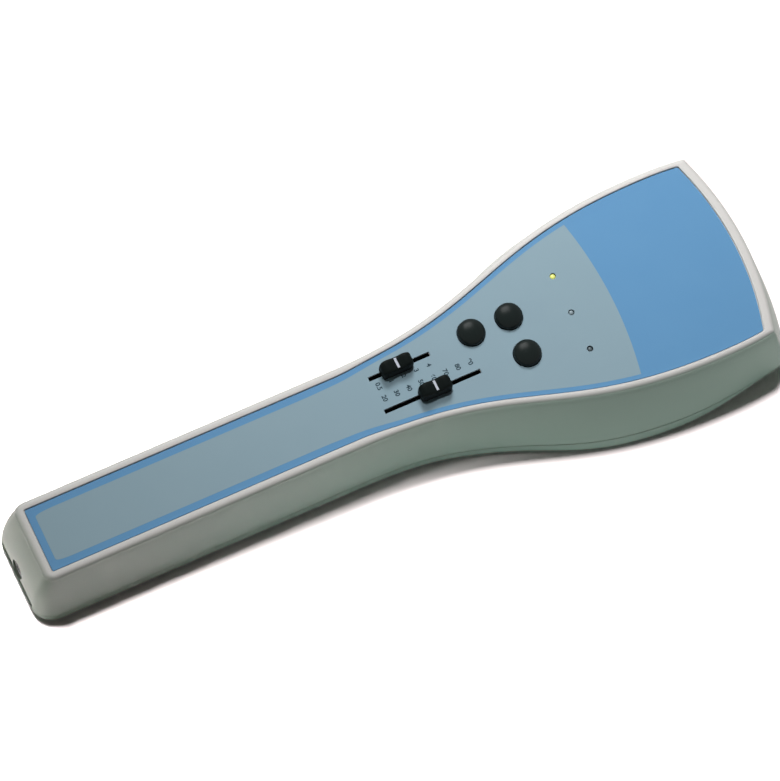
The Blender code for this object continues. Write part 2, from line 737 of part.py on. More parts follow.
def lower_body_rings():
    """The outside of the lower shell, closed at the parting plane."""
    return floor_rings(0.0, 0.0) + [ring(parting_depth + CLEARANCE)]


door_lip_inner = -back_reach + DOOR_LIP_THICKNESS
door_end = tray_end + DOOR_END_MARGIN
DOOR_RIB_SHARES = (0.2, 0.7, 1.2, 1.7)
door_ribs = [cells_start + CELL_LENGTH * share for share in DOOR_RIB_SHARES]


def grille_places():
    """Grille holes on rings of six round a middle hole, as (x, y)."""
    places = [(speaker_x, 0.0)]
    for number in range(1, GRILLE_RINGS + 1):
        for i in range(6 * number):
            angle = math.tau * i / (6 * number)
            places.append((speaker_x + number * GRILLE_PITCH * math.cos(angle),
                           number * GRILLE_PITCH * math.sin(angle)))
    return places


def speaker_screw_places():
    reach = SPEAKER_RADIUS - SPEAKER_SCREW_SETBACK
    return [(speaker_x + reach * math.cos(math.tau * (i + 0.5) / 4),
             reach * math.sin(math.tau * (i + 0.5) / 4)) for i in range(4)]


def make_lower_shell():
    lip_top = parting_depth - LIP_HEIGHT
    lip_inset = WALL + CLEARANCE
    rings = lower_body_rings()
    rings += [ring(parting_depth + CLEARANCE, lip_inset), ring(lip_top, lip_inset),
              ring(lip_top, lip_inset + LIP_THICKNESS),
              ring(parting_depth + CLEARANCE, lip_inset + LIP_THICKNESS)]
    rings += floor_rings(lip_inset + LIP_THICKNESS, WALL, INNER_FLOOR_ROUND)[::-1]
    shell = loft("lower_shell", rings, SHELL_GREY)
    posts = bmesh.new()
    seats = bmesh.new()
    bores = bmesh.new()
    for x, y in HOUSING_SCREWS:
        add_rod(posts, LOWER_POST_RADIUS, (place(x), y, WALL / 2), (place(x), y, POST_TOP_HEIGHT))
        add_rod(seats, SCREW_HEAD_RADIUS + CLEARANCE, (place(x), y, -CUT_OVERRUN),
                (place(x), y, SCREW_SEAT_HEIGHT))
        add_rod(bores, SCREW_RADIUS + CLEARANCE, (place(x), y, WALL),
                (place(x), y, POST_TOP_HEIGHT + CUT_OVERRUN), SMALL_SIDES)
    join(shell, finish_mesh("lower_posts", posts, helper=True))
    cut(shell, finish_mesh("screw_seat_cutter", seats, helper=True))
    for x, y in speaker_screw_places():
        add_rod(bores, SPEAKER_SCREW_RADIUS + CLEARANCE, (place(x), y, WALL / 3),
                (place(x), y, WALL + CUT_OVERRUN), SMALL_SIDES)
    cut(shell, finish_mesh("screw_bore_cutter", bores, helper=True))
    grille = bmesh.new()
    for x, y in grille_places():
        add_rod(grille, GRILLE_HOLE_RADIUS, (place(x), y, -CUT_OVERRUN),
                (place(x), y, WALL + CUT_OVERRUN), GRILLE_SIDES)
    add_rod(grille, LAMP_LENS_RADIUS + CLEARANCE, (place(lamp_x), 0, -CUT_OVERRUN),
            (place(lamp_x), 0, WALL + CUT_OVERRUN), ROUND_SIDES)
    cut(shell, finish_mesh("grille_cutter", grille, helper=True))
    opening_half = DOOR_HALF_WIDTH + CLEARANCE
    outside = place(-back_reach) - CUT_OVERRUN
    cut(shell, block("door_cutter", (outside, -opening_half, -CUT_OVERRUN),
                     (place(door_end), opening_half, PARTING_HEIGHT + LIP_HEIGHT + CUT_OVERRUN),
                     helper=True))
    notches = bmesh.new()
    notch_half = opening_half + DOOR_TAB_REACH
    for x in door_ribs:
        start = place(x - DOOR_TRAVEL) - CLEARANCE
        add_block(notches, (start, -notch_half, -CUT_OVERRUN),
                  (start + DOOR_TAB_LENGTH + 2 * CLEARANCE, notch_half, WALL + CUT_OVERRUN))
    cut(shell, finish_mesh("door_notch_cutter", notches, helper=True))
    return shell


def make_door():
    """The sliding door under the battery bay: end lip, ribs under the cells, tabs at their ends."""
    door = loft("battery_door", lower_body_rings(), SHELL_GREY)
    far = place(-back_reach) - CUT_OVERRUN
    near = place(door_end) - CLEARANCE
    keep_common(door, block("door_bounds", (far, -DOOR_HALF_WIDTH, -CUT_OVERRUN),
                            (near, DOOR_HALF_WIDTH, PARTING_HEIGHT + CUT_OVERRUN), helper=True))
    hollow = bmesh.new()
    start = place(door_lip_inner)
    for x in door_ribs:
        add_block(hollow, (start, -DOOR_HALF_WIDTH - CUT_OVERRUN, WALL),
                  (place(x), DOOR_HALF_WIDTH + CUT_OVERRUN, PARTING_HEIGHT + CUT_OVERRUN))
        start = place(x) + DOOR_TAB_LENGTH
    add_block(hollow, (start, -DOOR_HALF_WIDTH - CUT_OVERRUN, WALL),
              (near + CUT_OVERRUN, DOOR_HALF_WIDTH + CUT_OVERRUN, PARTING_HEIGHT + CUT_OVERRUN))
    cut(door, finish_mesh("door_hollow", hollow, helper=True))
    cut(door, block("door_rib_trim", (place(0), -DOOR_HALF_WIDTH - CUT_OVERRUN, door_top),
                    (near + CUT_OVERRUN, DOOR_HALF_WIDTH + CUT_OVERRUN,
                     PARTING_HEIGHT + 2 * CUT_OVERRUN), helper=True))
    tabs = bmesh.new()
    for x in door_ribs:
        for side in (-1, 1):
            ends = sorted((side * (DOOR_HALF_WIDTH - DOOR_TAB_REACH),
                           side * (DOOR_HALF_WIDTH + DOOR_TAB_REACH)))
            add_block(tabs, (place(x) + CLEARANCE, ends[0], WALL + CLEARANCE),
                      (place(x) + DOOR_TAB_LENGTH - CLEARANCE, ends[1], door_top - CLEARANCE))
    join(door, finish_mesh("door_tab_bars", tabs, helper=True))
    return door


def make_tray():
    """A channel over the cells: roof, walls, side flanges with legs on the floor, end walls."""
    inner = CELL_RADIUS + CLEARANCE
    outer = inner + TRAY_WALL
    foot_inner = DOOR_HALF_WIDTH + DOOR_TAB_REACH + CLEARANCE
    foot_outer = foot_inner + TRAY_WALL
    flange = door_top + CLEARANCE
    foot = WALL + CLEARANCE
    half = [(outer, tray_roof_top), (outer, flange + TRAY_WALL), (foot_outer, flange + TRAY_WALL),
            (foot_outer, foot), (foot_inner, foot), (foot_inner, flange), (inner, flange),
            (inner, tray_roof_base)]
    profile = half + [(-y, z) for y, z in reversed(half)]
    length = tray_end - TRAY_START
    matrix = Matrix(((0, 0, 1, place(TRAY_START + length / 2)), (1, 0, 0, 0), (0, 1, 0, 0),
                     (0, 0, 0, 1)))
    tray = flat_shape("battery_tray", profile, length, matrix, TRAY_GREY)
    walls = bmesh.new()
    middle = outer - TRAY_WALL / 2
    for x in (TRAY_START, tray_end - TRAY_WALL):
        add_block(walls, (place(x), -middle, flange), (place(x) + TRAY_WALL, middle, tray_roof_top
                                                       - TRAY_WALL / 2))
    join(tray, finish_mesh("tray_end_walls", walls, helper=True))
    return tray


def make_cell(name, start):
    """One AA cell with its plus nub towards the handle's end."""
    top = CELL_LENGTH
    shoulder = top - CELL_NUB_LENGTH
    bevel = CELL_NUB_LENGTH / 2
    profile = [(0, top), (CELL_NUB_RADIUS, top), (CELL_NUB_RADIUS, shoulder),
               (CELL_RADIUS - bevel, shoulder), (CELL_RADIUS, shoulder - bevel),
               (CELL_RADIUS, 0), (0, 0)]
    return turned(name, profile, CELL_WRAP, 24, (place(start + CELL_LENGTH), 0, cell_height),
                  (0, -math.pi / 2, 0))


def make_contacts():
    half = CONTACT_HALF_WIDTH
    for name, x in (("contact_plus", TRAY_START + TRAY_WALL + CLEARANCE),
                    ("contact_minus", spring_end + CLEARANCE)):
        block(name, (place(x), -half, cell_height - half),
              (place(x) + CONTACT_THICKNESS, half, cell_height + half), STEEL)
    points = []
    steps = SPRING_TURNS * 10
    run = SPRING_LENGTH - 2 * SPRING_WIRE_RADIUS
    for step in range(steps + 1):
        share = step / steps
        angle = math.tau * SPRING_TURNS * share
        points.append((place(cells_end + CLEARANCE) + SPRING_WIRE_RADIUS + run * share,
                       SPRING_RADIUS * math.cos(angle), cell_height + SPRING_RADIUS
                       * math.sin(angle)))
    wire("contact_spring", points, SPRING_WIRE_RADIUS, STEEL, 1)


def make_socket():
    """A jack: a square body behind the end wall and a barrel in the round hole."""
    barrel_x = place(-end_reach(socket_depth)) + SOCKET_BARREL_INSET
    body_start = place(-end_reach(socket_depth - SOCKET_BODY_HALF_HEIGHT)) + WALL + CLEARANCE
    body_end = place(TRAY_START) - CLEARANCE
    socket = block("socket", (body_start, -SOCKET_BODY_HALF_WIDTH,
                              socket_height - SOCKET_BODY_HALF_HEIGHT),
                   (body_end, SOCKET_BODY_HALF_WIDTH, socket_height + SOCKET_BODY_HALF_HEIGHT),
                   PART_BLACK)
    barrel = bmesh.new()
    add_rod(barrel, SOCKET_BARREL_RADIUS, (barrel_x, 0, socket_height),
            (body_start + WALL, 0, socket_height), ROUND_SIDES)
    join(socket, finish_mesh("socket_barrel", barrel, helper=True))
    bore = bmesh.new()
    add_rod(bore, SOCKET_BORE_RADIUS, (barrel_x - CUT_OVERRUN, 0, socket_height),
            (body_end - WALL, 0, socket_height), SMALL_SIDES)
    cut(socket, finish_mesh("socket_bore", bore, helper=True))
    return socket


def make_board():
    """The circuit board, wider under the indicator lamps, with four screw holes."""
    half, wide = BOARD_HALF_WIDTH, board_head_half_width
    step_start = place(pair_x + KEY_RADIUS)
    step_end = step_start + wide - half
    outline = [(place(board_start), half), (step_start, half), (step_end, wide),
               (place(board_end), wide)]
    outline += [(x, -y) for x, y in reversed(outline)]
    matrix = Matrix.Translation((0, 0, board_top - BOARD_THICKNESS / 2))
    board = flat_shape("main_board", outline, BOARD_THICKNESS, matrix, BOARD_GREEN)
    holes = bmesh.new()
    for x, y in BOARD_POSTS:
        add_rod(holes, BOARD_SCREW_RADIUS + CLEARANCE, (place(x), y, board_base - CUT_OVERRUN),
                (place(x), y, board_top + CUT_OVERRUN), SMALL_SIDES)
    cut(board, finish_mesh("board_hole_cutter", holes, helper=True))
    return board


def make_key(name, x, y):
    """A domed key: cap, retaining flange and a stem into the switch."""
    edge = TOTAL_HEIGHT + KEY_EDGE_HEIGHT
    flange_top = panel_underside - CLEARANCE
    flange_base = flange_top - KEY_FLANGE_THICKNESS
    switch_top = board_top + CLEARANCE + SWITCH_HEIGHT
    stem_base = switch_top - STEM_ENGAGEMENT
    profile = [(0, edge + KEY_DOME_HEIGHT)]
    for step in range(1, 7):
        angle = math.pi / 2 * step / 6
        profile.append((KEY_RADIUS * math.sin(angle), edge + KEY_DOME_HEIGHT * math.cos(angle)))
    profile += [(KEY_RADIUS, flange_top), (KEY_RADIUS + KEY_FLANGE, flange_top),
                (KEY_RADIUS + KEY_FLANGE, flange_base), (KEY_STEM_RADIUS, flange_base),
                (KEY_STEM_RADIUS, stem_base), (0, stem_base)]
    return turned(name, profile, KEY_BLACK, ROUND_SIDES, (place(x), y, 0))


def make_switch(name, x, y):
    """A switch body with a bore that leaves room for the key's travel."""
    base = board_top + CLEARANCE
    top = base + SWITCH_HEIGHT
    half = SWITCH_HALF_WIDTH
    switch = block(name, (place(x) - half, y - half, base), (place(x) + half, y + half, top),
                   PART_BLACK)
    bore = bmesh.new()
    floor = top - STEM_ENGAGEMENT - KEY_TRAVEL - CLEARANCE
    add_rod(bore, KEY_STEM_RADIUS + CLEARANCE, (place(x), y, floor),
            (place(x), y, top + CUT_OVERRUN), POST_SIDES)
    cut(switch, finish_mesh(name + "_bore", bore, helper=True))
    return switch


def lever_rest(length, rest_share):
    """Plan X of a lever at rest, at a share of the slot between its end stops."""
    stop = LEVER_LENGTH / 2 + CLEARANCE
    return slot_start + stop + (length - 2 * stop) * rest_share


def make_slider(name, length, rest_share, y):
    """A slide potentiometer, its lever and its knob."""
    base = board_top + CLEARANCE
    top = panel_underside - CLEARANCE
    pot = block("pot_" + name, (place(slot_start) - POT_END, y - POT_HALF_WIDTH, base),
                (place(slot_start + length) + POT_END, y + POT_HALF_WIDTH, top), PART_BLACK)
    channel_half = LEVER_THICKNESS / 2 + CLEARANCE
    cut(pot, block("pot_channel_" + name,
                   (place(slot_start), y - channel_half, top - LEVER_PLUNGE - CLEARANCE),
                   (place(slot_start + length), y + channel_half, top + CUT_OVERRUN), helper=True))
    x = place(lever_rest(length, rest_share))
    knob_base = label_top + KNOB_FLOAT
    lever_top = knob_base + KNOB_HEIGHT - KNOB_ROOF
    block("lever_" + name, (x - LEVER_LENGTH / 2, y - LEVER_THICKNESS / 2, top - LEVER_PLUNGE),
          (x + LEVER_LENGTH / 2, y + LEVER_THICKNESS / 2, lever_top), STEEL)
    half, height = KNOB_LENGTH / 2, KNOB_HEIGHT
    side = [(half, 0), (half * 0.95, height * 0.60), (half * 0.80, height),
            (half * 0.40, height * 0.93), (0, height * 0.90)]
    side += [(-x_value, z_value) for x_value, z_value in reversed(side[:-1])]
    matrix = Matrix(((1, 0, 0, x), (0, 0, -1, y), (0, 1, 0, knob_base), (0, 0, 0, 1)))
    knob = flat_shape("knob_" + name, side, KNOB_WIDTH, matrix, KEY_BLACK)
    bevel = knob.modifiers.new("edges", "BEVEL")
    bevel.width = KNOB_BEVEL
    bevel.segments = 2
    bevel.limit_method = "ANGLE"
    bevel.angle_limit = math.radians(25)
    pocket_half = LEVER_THICKNESS / 2 + CLEARANCE
    cut(knob, block("knob_pocket_" + name, (x - LEVER_LENGTH / 2 - CLEARANCE, y - pocket_half,
                                            knob_base - CUT_OVERRUN / 2),
                    (x + LEVER_LENGTH / 2 + CLEARANCE, y + pocket_half, lever_top + CLEARANCE),
                    helper=True))


def make_led(name, y, material):
    """An indicator lamp on its spacer, its dome level with the label."""
    base = board_top + CLEARANCE
    crown = label_top
    shoulder = crown - LED_RADIUS
    spacer_top = crown - LED_BULB_LENGTH
    profile = [(0, crown)]
    for step in range(1, 5):
        angle = math.pi / 2 * step / 4
        profile.append((LED_RADIUS * math.sin(angle), shoulder + LED_RADIUS * math.cos(angle)))
    profile += [(LED_RADIUS, spacer_top), (LED_FLANGE_RADIUS, spacer_top),
                (LED_FLANGE_RADIUS, base), (0, base)]
    return turned(name, profile, material, POST_SIDES, (place(led_x), y, 0))


def make_speaker():
    """The loudspeaker: gasket and cloth on the floor, frame, cone and magnet above."""
    where = (place(speaker_x), 0, 0)
    seat = WALL + CLEARANCE
    gasket_top = seat + GASKET_THICKNESS
    frame_base = gasket_top + CLEARANCE
    flange_top = frame_base + SPEAKER_FLANGE
    frame_top = frame_base + SPEAKER_HEIGHT - MAGNET_HEIGHT
    inner_rim = SPEAKER_RADIUS - SPEAKER_FLANGE_WIDTH
    gasket_outer = inner_rim + GASKET_WIDTH
    turned("speaker_gasket", [(gasket_outer, gasket_top), (gasket_outer, seat),
                              (inner_rim, seat), (inner_rim, gasket_top)],
           RUBBER, ROUND_SIDES, where)
    cloth = inner_rim - CLEARANCE
    turned("grille_cloth", [(0, seat + CLOTH_THICKNESS), (cloth, seat + CLOTH_THICKNESS),
                            (cloth, seat), (0, seat)], CLOTH_BLACK, ROUND_SIDES, where)
    basket_foot = inner_rim + SPEAKER_SKIN
    inside_top = frame_top - SPEAKER_SKIN
    frame = turned("speaker_frame", [
        (0, frame_top), (BASKET_TOP_RADIUS, frame_top),
        (BASKET_TOP_RADIUS, inside_top), (basket_foot, flange_top),
        (SPEAKER_RADIUS, flange_top), (SPEAKER_RADIUS, frame_base), (inner_rim, frame_base),
        (inner_rim, flange_top - SPEAKER_SKIN / 2),
        (BASKET_TOP_RADIUS - SPEAKER_SKIN, inside_top - SPEAKER_SKIN / 2),
        (0, inside_top - SPEAKER_SKIN / 2)], STEEL, ROUND_SIDES, where)
    holes = bmesh.new()
    for x, y in speaker_screw_places():
        add_rod(holes, SPEAKER_SCREW_RADIUS + CLEARANCE, (place(x), y, 0),
                (place(x), y, flange_top + CUT_OVERRUN), SMALL_SIDES)
    cut(frame, finish_mesh("speaker_hole_cutter", holes, helper=True))
    cone_edge = inner_rim - 2 * CLEARANCE
    cone_base = frame_base + CLEARANCE
    cone_rise = (inside_top - frame_base) * 0.62
    dust_rise = cone_rise * 0.80
    cone = [(0, dust_rise), (DUST_CAP_RADIUS, cone_rise), (cone_edge, 0)]
    profile = [(r, cone_base + z + CONE_THICKNESS) for r, z in cone]
    profile += [(r, cone_base + z) for r, z in reversed(cone)]
    turned("speaker_cone", profile, PAPER_CONE, ROUND_SIDES, where)
    magnet_base = frame_top + CLEARANCE
    turned("speaker_magnet", [(0, magnet_base + MAGNET_HEIGHT - CLEARANCE),
                              (MAGNET_RADIUS, magnet_base + MAGNET_HEIGHT - CLEARANCE),
                              (MAGNET_RADIUS, magnet_base), (0, magnet_base)],
           PART_BLACK, ROUND_SIDES, where)
    for number, (x, y) in enumerate(speaker_screw_places(), 1):
        head_base = flange_top + CLEARANCE
        make_screw("speaker_screw_%d" % number, x, y, head_base, SPEAKER_SCREW_HEAD_RADIUS,
                   SPEAKER_SCREW_RADIUS, SPEAKER_SCREW_HEAD_RADIUS, head_base - WALL * 0.6, True)


def make_screw(name, x, y, seat, head_radius, radius, head_height, length, head_up=False):
    """A pan-head screw whose head sits at a height, with its shank up or down from there."""
    away = 1 if head_up else -1
    bevel = head_height / 4
    profile = [(0, head_height), (head_radius - bevel, head_height),
               (head_radius, head_height - bevel), (head_radius, 0), (radius, 0),
               (radius, -length), (0, -length)]
    rotation = (0, 0, 0) if away > 0 else (math.pi, 0, 0)
    return turned(name, profile, STEEL, SMALL_SIDES, (place(x), y, seat), rotation)


def make_lamp():
    """A clear lens in the floor by the grille, with its lamp behind it."""
    where = (place(lamp_x), 0, 0)
    flange_base = WALL + CLEARANCE
    flange_top = flange_base + LAMP_LENS_RADIUS / 4
    face = CLEARANCE
    bore = LAMP_BULB_RADIUS + CLEARANCE
    bore_floor = WALL * 0.6
    turned("lamp_lens", [(0, bore_floor), (bore, bore_floor), (bore, flange_top),
                         (LAMP_FLANGE_RADIUS, flange_top), (LAMP_FLANGE_RADIUS, flange_base),
                         (LAMP_LENS_RADIUS, flange_base), (LAMP_LENS_RADIUS, face + CLEARANCE),
                         (LAMP_LENS_RADIUS - CLEARANCE, face), (0, face)],
           LENS_CLEAR, ROUND_SIDES, where)
    tip = bore_floor + CLEARANCE
    collar_base = flange_top + CLEARANCE
    collar = LAMP_LENS_RADIUS - CLEARANCE
    dome = LAMP_BULB_RADIUS / 2
    turned("lamp_bulb", [(0, tip + LAMP_LENGTH), (collar, tip + LAMP_LENGTH),
                         (collar, collar_base), (LAMP_BULB_RADIUS, collar_base),
                         (LAMP_BULB_RADIUS, tip + dome), (LAMP_BULB_RADIUS * 0.7, tip + dome / 3),
                         (0, tip)], LED_CLEAR, POST_SIDES, where)


def make_leads():
    """Insulated leads from the bay, the loudspeaker and the socket to the board's underside."""
    under = board_base - CLEARANCE
    beside = CELL_RADIUS + CLEARANCE + TRAY_WALL + LEAD_SPREAD
    height = cell_height + CELL_RADIUS / 2
    bay_start, bay_end = place(TRAY_START), place(tray_end)
    solder_x = place(board_start) + 2 * LEAD_BEND
    below = under - LEAD_BEND / 2
    wire("lead_minus", eased_route([
        (bay_end + CLEARANCE, 0, height), (bay_end + 2 * LEAD_BEND, 0, height),
        (solder_x, 0, below), (solder_x, 0, under)]), LEAD_RADIUS, LEAD_BLACK)
    for name, start_x, side, material in (
            ("lead_plus", bay_start, -1, LEAD_RED),
            ("lead_socket", bay_start - SOCKET_BODY_HALF_HEIGHT, 1, LEAD_BLACK)):
        end_y = side * LEAD_SPREAD
        wire(name, eased_route([
            (start_x, side * beside, height), (bay_end, side * beside, height),
            (bay_end + LEAD_BEND, 2 * end_y, height), (solder_x, end_y, below),
            (solder_x, end_y, under)]), LEAD_RADIUS, material)
    tab_height = WALL + GASKET_THICKNESS + SPEAKER_FLANGE + 4 * CLEARANCE + LEAD_RADIUS
    tab_x = place(speaker_x) - SPEAKER_RADIUS + SPEAKER_SCREW_SETBACK
    for name, side, material in (("lead_speaker_plus", -1, LEAD_RED),
                                 ("lead_speaker_minus", 1, LEAD_BLACK)):
        y = side * LEAD_SPREAD
        wire(name, eased_route([
            (tab_x, y, tab_height), (tab_x - LEAD_BEND, y, tab_height + LEAD_BEND),
            (place(pair_x), y, below), (place(pair_x), y, under)]), LEAD_RADIUS, material)


make_upper_shell()
make_label()
make_lower_shell()
make_door()
make_tray()
for cell_number in (1, 2):
    make_cell("cell_%d" % cell_number,
              cells_start + (cell_number - 1) * (CELL_LENGTH + CLEARANCE))
make_contacts()
make_socket()
make_board()
for key_name, (key_x, key_y) in KEYS.items():
    make_key(key_name, key_x, key_y)
    make_switch(key_name.replace("key", "switch"), key_x, key_y)
for slider_name, (slot_length, slot_rest, slot_y) in SLIDERS.items():
    make_slider(slider_name, slot_length, slot_rest, slot_y)
make_led("led_far", LED_PITCH, LED_LIT)
make_led("led_middle", 0.0, LED_CLEAR)
make_led("led_near", -LED_PITCH, LED_CLEAR)
make_speaker()
make_lamp()
for screw_number, (screw_x, screw_y) in enumerate(HOUSING_SCREWS, 1):
    make_screw("housing_screw_%d" % screw_number, screw_x, screw_y,
               SCREW_SEAT_HEIGHT - CLEARANCE, SCREW_HEAD_RADIUS, SCREW_RADIUS,
               SCREW_HEAD_HEIGHT, SCREW_LENGTH)
for screw_number, (screw_x, screw_y) in enumerate(BOARD_POSTS, 1):
    make_screw("board_screw_%d" % screw_number, screw_x, screw_y, board_base - CLEARANCE,
               BOARD_SCREW_HEAD_RADIUS, BOARD_SCREW_RADIUS, BOARD_SCREW_HEAD_HEIGHT,
               BOARD_SCREW_LENGTH)
make_leads()
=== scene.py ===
# %% [markdown]
# # A handheld screening audiometer
#
# The real object is a paddle of moulded ABS: a slim handle with a battery bay, a neck with two
# slide controls and three domed keys, and a wide head with a loudspeaker behind a grille on its
# underside. The CAD frame already holds every solid in its place. This lesson gives the outside
# its fine shapes and every part its finish, piece by piece, without moving anything.

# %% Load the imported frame
import math

import bmesh
import bpy
from mathutils import Matrix, Vector


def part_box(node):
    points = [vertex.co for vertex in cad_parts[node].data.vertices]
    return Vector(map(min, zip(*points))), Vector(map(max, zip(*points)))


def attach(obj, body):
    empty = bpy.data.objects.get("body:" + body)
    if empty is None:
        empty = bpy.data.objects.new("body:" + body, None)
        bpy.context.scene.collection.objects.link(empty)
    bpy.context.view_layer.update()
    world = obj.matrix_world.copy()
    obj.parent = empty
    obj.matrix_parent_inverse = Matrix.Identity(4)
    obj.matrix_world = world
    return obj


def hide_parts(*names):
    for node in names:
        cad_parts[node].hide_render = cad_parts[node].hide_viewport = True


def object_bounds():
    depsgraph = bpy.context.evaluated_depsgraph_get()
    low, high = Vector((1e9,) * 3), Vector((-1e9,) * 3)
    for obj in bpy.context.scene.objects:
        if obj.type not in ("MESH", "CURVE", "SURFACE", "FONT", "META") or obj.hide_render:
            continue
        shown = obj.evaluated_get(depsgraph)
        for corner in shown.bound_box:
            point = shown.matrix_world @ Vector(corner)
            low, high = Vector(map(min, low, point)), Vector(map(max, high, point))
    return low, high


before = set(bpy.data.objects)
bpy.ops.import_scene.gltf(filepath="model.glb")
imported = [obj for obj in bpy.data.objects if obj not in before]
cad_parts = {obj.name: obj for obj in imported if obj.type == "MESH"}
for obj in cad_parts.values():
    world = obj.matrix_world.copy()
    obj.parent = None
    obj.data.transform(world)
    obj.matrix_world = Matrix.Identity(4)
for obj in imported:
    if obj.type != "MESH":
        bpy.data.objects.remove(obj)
cad_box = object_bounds()
cad_size = cad_box[1] - cad_box[0]
print("CAD box in mm: %.1f x %.1f x %.1f" % tuple(side * 1000 for side in cad_size))

# %% [markdown]
# ## The camera
#
# The photograph looks down on the front from the handle's near side, at about 70 degrees above
# the table, from two metres away. So the lens is a long one, which keeps the two long edges
# nearly parallel. Place and angle were found by matching corners of the front panel, the slots
# and the keys with the photograph.

# %% Camera
PHOTO_WIDTH = 780
FOCAL_PIXELS = 5000
SENSOR_WIDTH = 36.0
camera_data = bpy.data.cameras.new("photo_camera")
camera_data.sensor_fit = "HORIZONTAL"
camera_data.sensor_width = SENSOR_WIDTH
camera_data.lens = FOCAL_PIXELS / PHOTO_WIDTH * SENSOR_WIDTH
camera_data.clip_start, camera_data.clip_end = 0.05, 20.0
camera = bpy.data.objects.new("photo_camera", camera_data)
camera.location = (-0.3855752982, -0.5806347004, 1.9348930947)
camera.rotation_euler = (0.3482063619, -0.0512970053, -0.4432479127)
bpy.context.scene.collection.objects.link(camera)
bpy.context.scene.camera = camera
bpy.context.scene.view_settings.view_transform = "Standard"
print("lens in mm: %.1f" % camera_data.lens)

# %% [markdown]
# ## Colours and nodes
#
# Colours are picked as sRGB hex values, as a paint program shows them, but the renderer counts
# in linear light. One function turns them over. A second one adds a node with its settings and
# links, so that each material below reads as a list of nodes from left to right.

# %% Helpers for colours and nodes
def linear(hex_colour):
    """An sRGB hex colour as linear red, green, blue and alpha."""
    result = []
    for start in (1, 3, 5):
        value = int(hex_colour[start:start + 2], 16) / 255
        result.append(value / 12.92 if value <= 0.04045 else ((value + 0.055) / 1.055) ** 2.4)
    return (*result, 1.0)


def add_node(tree, kind, inputs=None, **settings):
    """Adds a node, sets its properties, and fills or links its inputs."""
    made = tree.nodes.new(kind)
    for name, value in settings.items():
        setattr(made, name, value)
    for name, value in (inputs or {}).items():
        if isinstance(value, bpy.types.NodeSocket):
            tree.links.new(value, made.inputs[name])
        else:
            made.inputs[name].default_value = value
    return made


def new_material(name):
    """An empty material and its node tree."""
    material = bpy.data.materials.new(name)
    material.use_nodes = True
    material.node_tree.nodes.clear()
    return material, material.node_tree


def object_coords(tree):
    """Places on the object, in metres from its own origin."""
    return add_node(tree, "ShaderNodeTexCoord").outputs["Object"]


def add_noise(tree, size, detail, **inputs):
    """Cloudy noise whose patches have a size in metres."""
    return add_node(tree, "ShaderNodeTexNoise", {
        "Vector": object_coords(tree), "Scale": 1 / size, "Detail": detail,
        **inputs}).outputs["Fac"]


def add_mix(tree, factor, first, second):
    """A colour between two others."""
    return add_node(tree, "ShaderNodeMix", {"Factor": factor, 6: first, 7: second},
                    data_type="RGBA").outputs[2]


def add_bump(tree, height, strength, distance):
    """A fine relief of a depth in metres."""
    return add_node(tree, "ShaderNodeBump", {
        "Height": height, "Strength": strength, "Distance": distance}).outputs["Normal"]


def add_surface(tree, inputs):
    """The surface that a material shows."""
    surface = add_node(tree, "ShaderNodeBsdfPrincipled", inputs)
    add_node(tree, "ShaderNodeOutputMaterial", {"Surface": surface.outputs[0]})


print("white is", [round(value, 3) for value in linear("#FFFFFF")])

# %% [markdown]
# ## Floor, world and lamps
#
# The photograph is cut out on white, and keeps only a narrow soft shadow along the near edge.
# The floor is a plain plane that the camera and reflections see as white paper. To all other
# rays it is a dim green, darker at the handle than at the head, and so is the light that it
# throws back on the walls. The world is white to the camera and to reflections, and gives a weak
# warm fill. Each lamp has one job, which light linking keeps it to. Two light the object from
# its far side, and a weak one the handle's end. Two light only the floor, from nearly overhead,
# so that the shadow is narrow. The last one only shows as a highlight in glossy surfaces.

# %% Floor
FLOOR_SIZE = 6.0
FLOOR_GAP = 0.0001
SEEN_PAPER = (1.10, 1.0, 1.0, 1.0)
HANDLE_BOUNCE = "#1E3F30"
HEAD_BOUNCE = "#8DBBAE"
BOUNCE_START_X = -0.12
BOUNCE_END_X = 0.04


def add_shown_rays(tree):
    """One for rays that show the background: camera, glossy and transmission rays."""
    rays = add_node(tree, "ShaderNodeLightPath")
    shown = rays.outputs["Is Camera Ray"]
    for kind in ("Is Glossy Ray", "Is Transmission Ray"):
        shown = add_node(tree, "ShaderNodeMath", {0: shown, 1: rays.outputs[kind]},
                         operation="ADD", use_clamp=True).outputs[0]
    return shown


floor_mesh = bpy.data.meshes.new("studio_floor")
half = FLOOR_SIZE / 2
floor_mesh.from_pydata([(-half, -half, 0), (half, -half, 0), (half, half, 0), (-half, half, 0)],
                       [], [(0, 1, 2, 3)])
studio_floor = bpy.data.objects.new("studio_floor", floor_mesh)
studio_floor.location.z = cad_box[0].z - FLOOR_GAP
bpy.context.scene.collection.objects.link(studio_floor)
floor_paper, tree = new_material("studio_paper")
place = add_node(tree, "ShaderNodeSeparateXYZ", {0: object_coords(tree)})
along = add_node(tree, "ShaderNodeMapRange", {
    "Value": place.outputs["X"], "From Min": BOUNCE_START_X, "From Max": BOUNCE_END_X})
bounce = add_mix(tree, along.outputs[0], linear(HANDLE_BOUNCE), linear(HEAD_BOUNCE))
paper_colour = add_mix(tree, add_shown_rays(tree), bounce, SEEN_PAPER)
paper = add_node(tree, "ShaderNodeBsdfDiffuse", {"Color": paper_colour})
add_node(tree, "ShaderNodeOutputMaterial", {"Surface": paper.outputs[0]})
floor_mesh.materials.append(floor_paper)
print("floor level: %.4f m" % studio_floor.location.z)

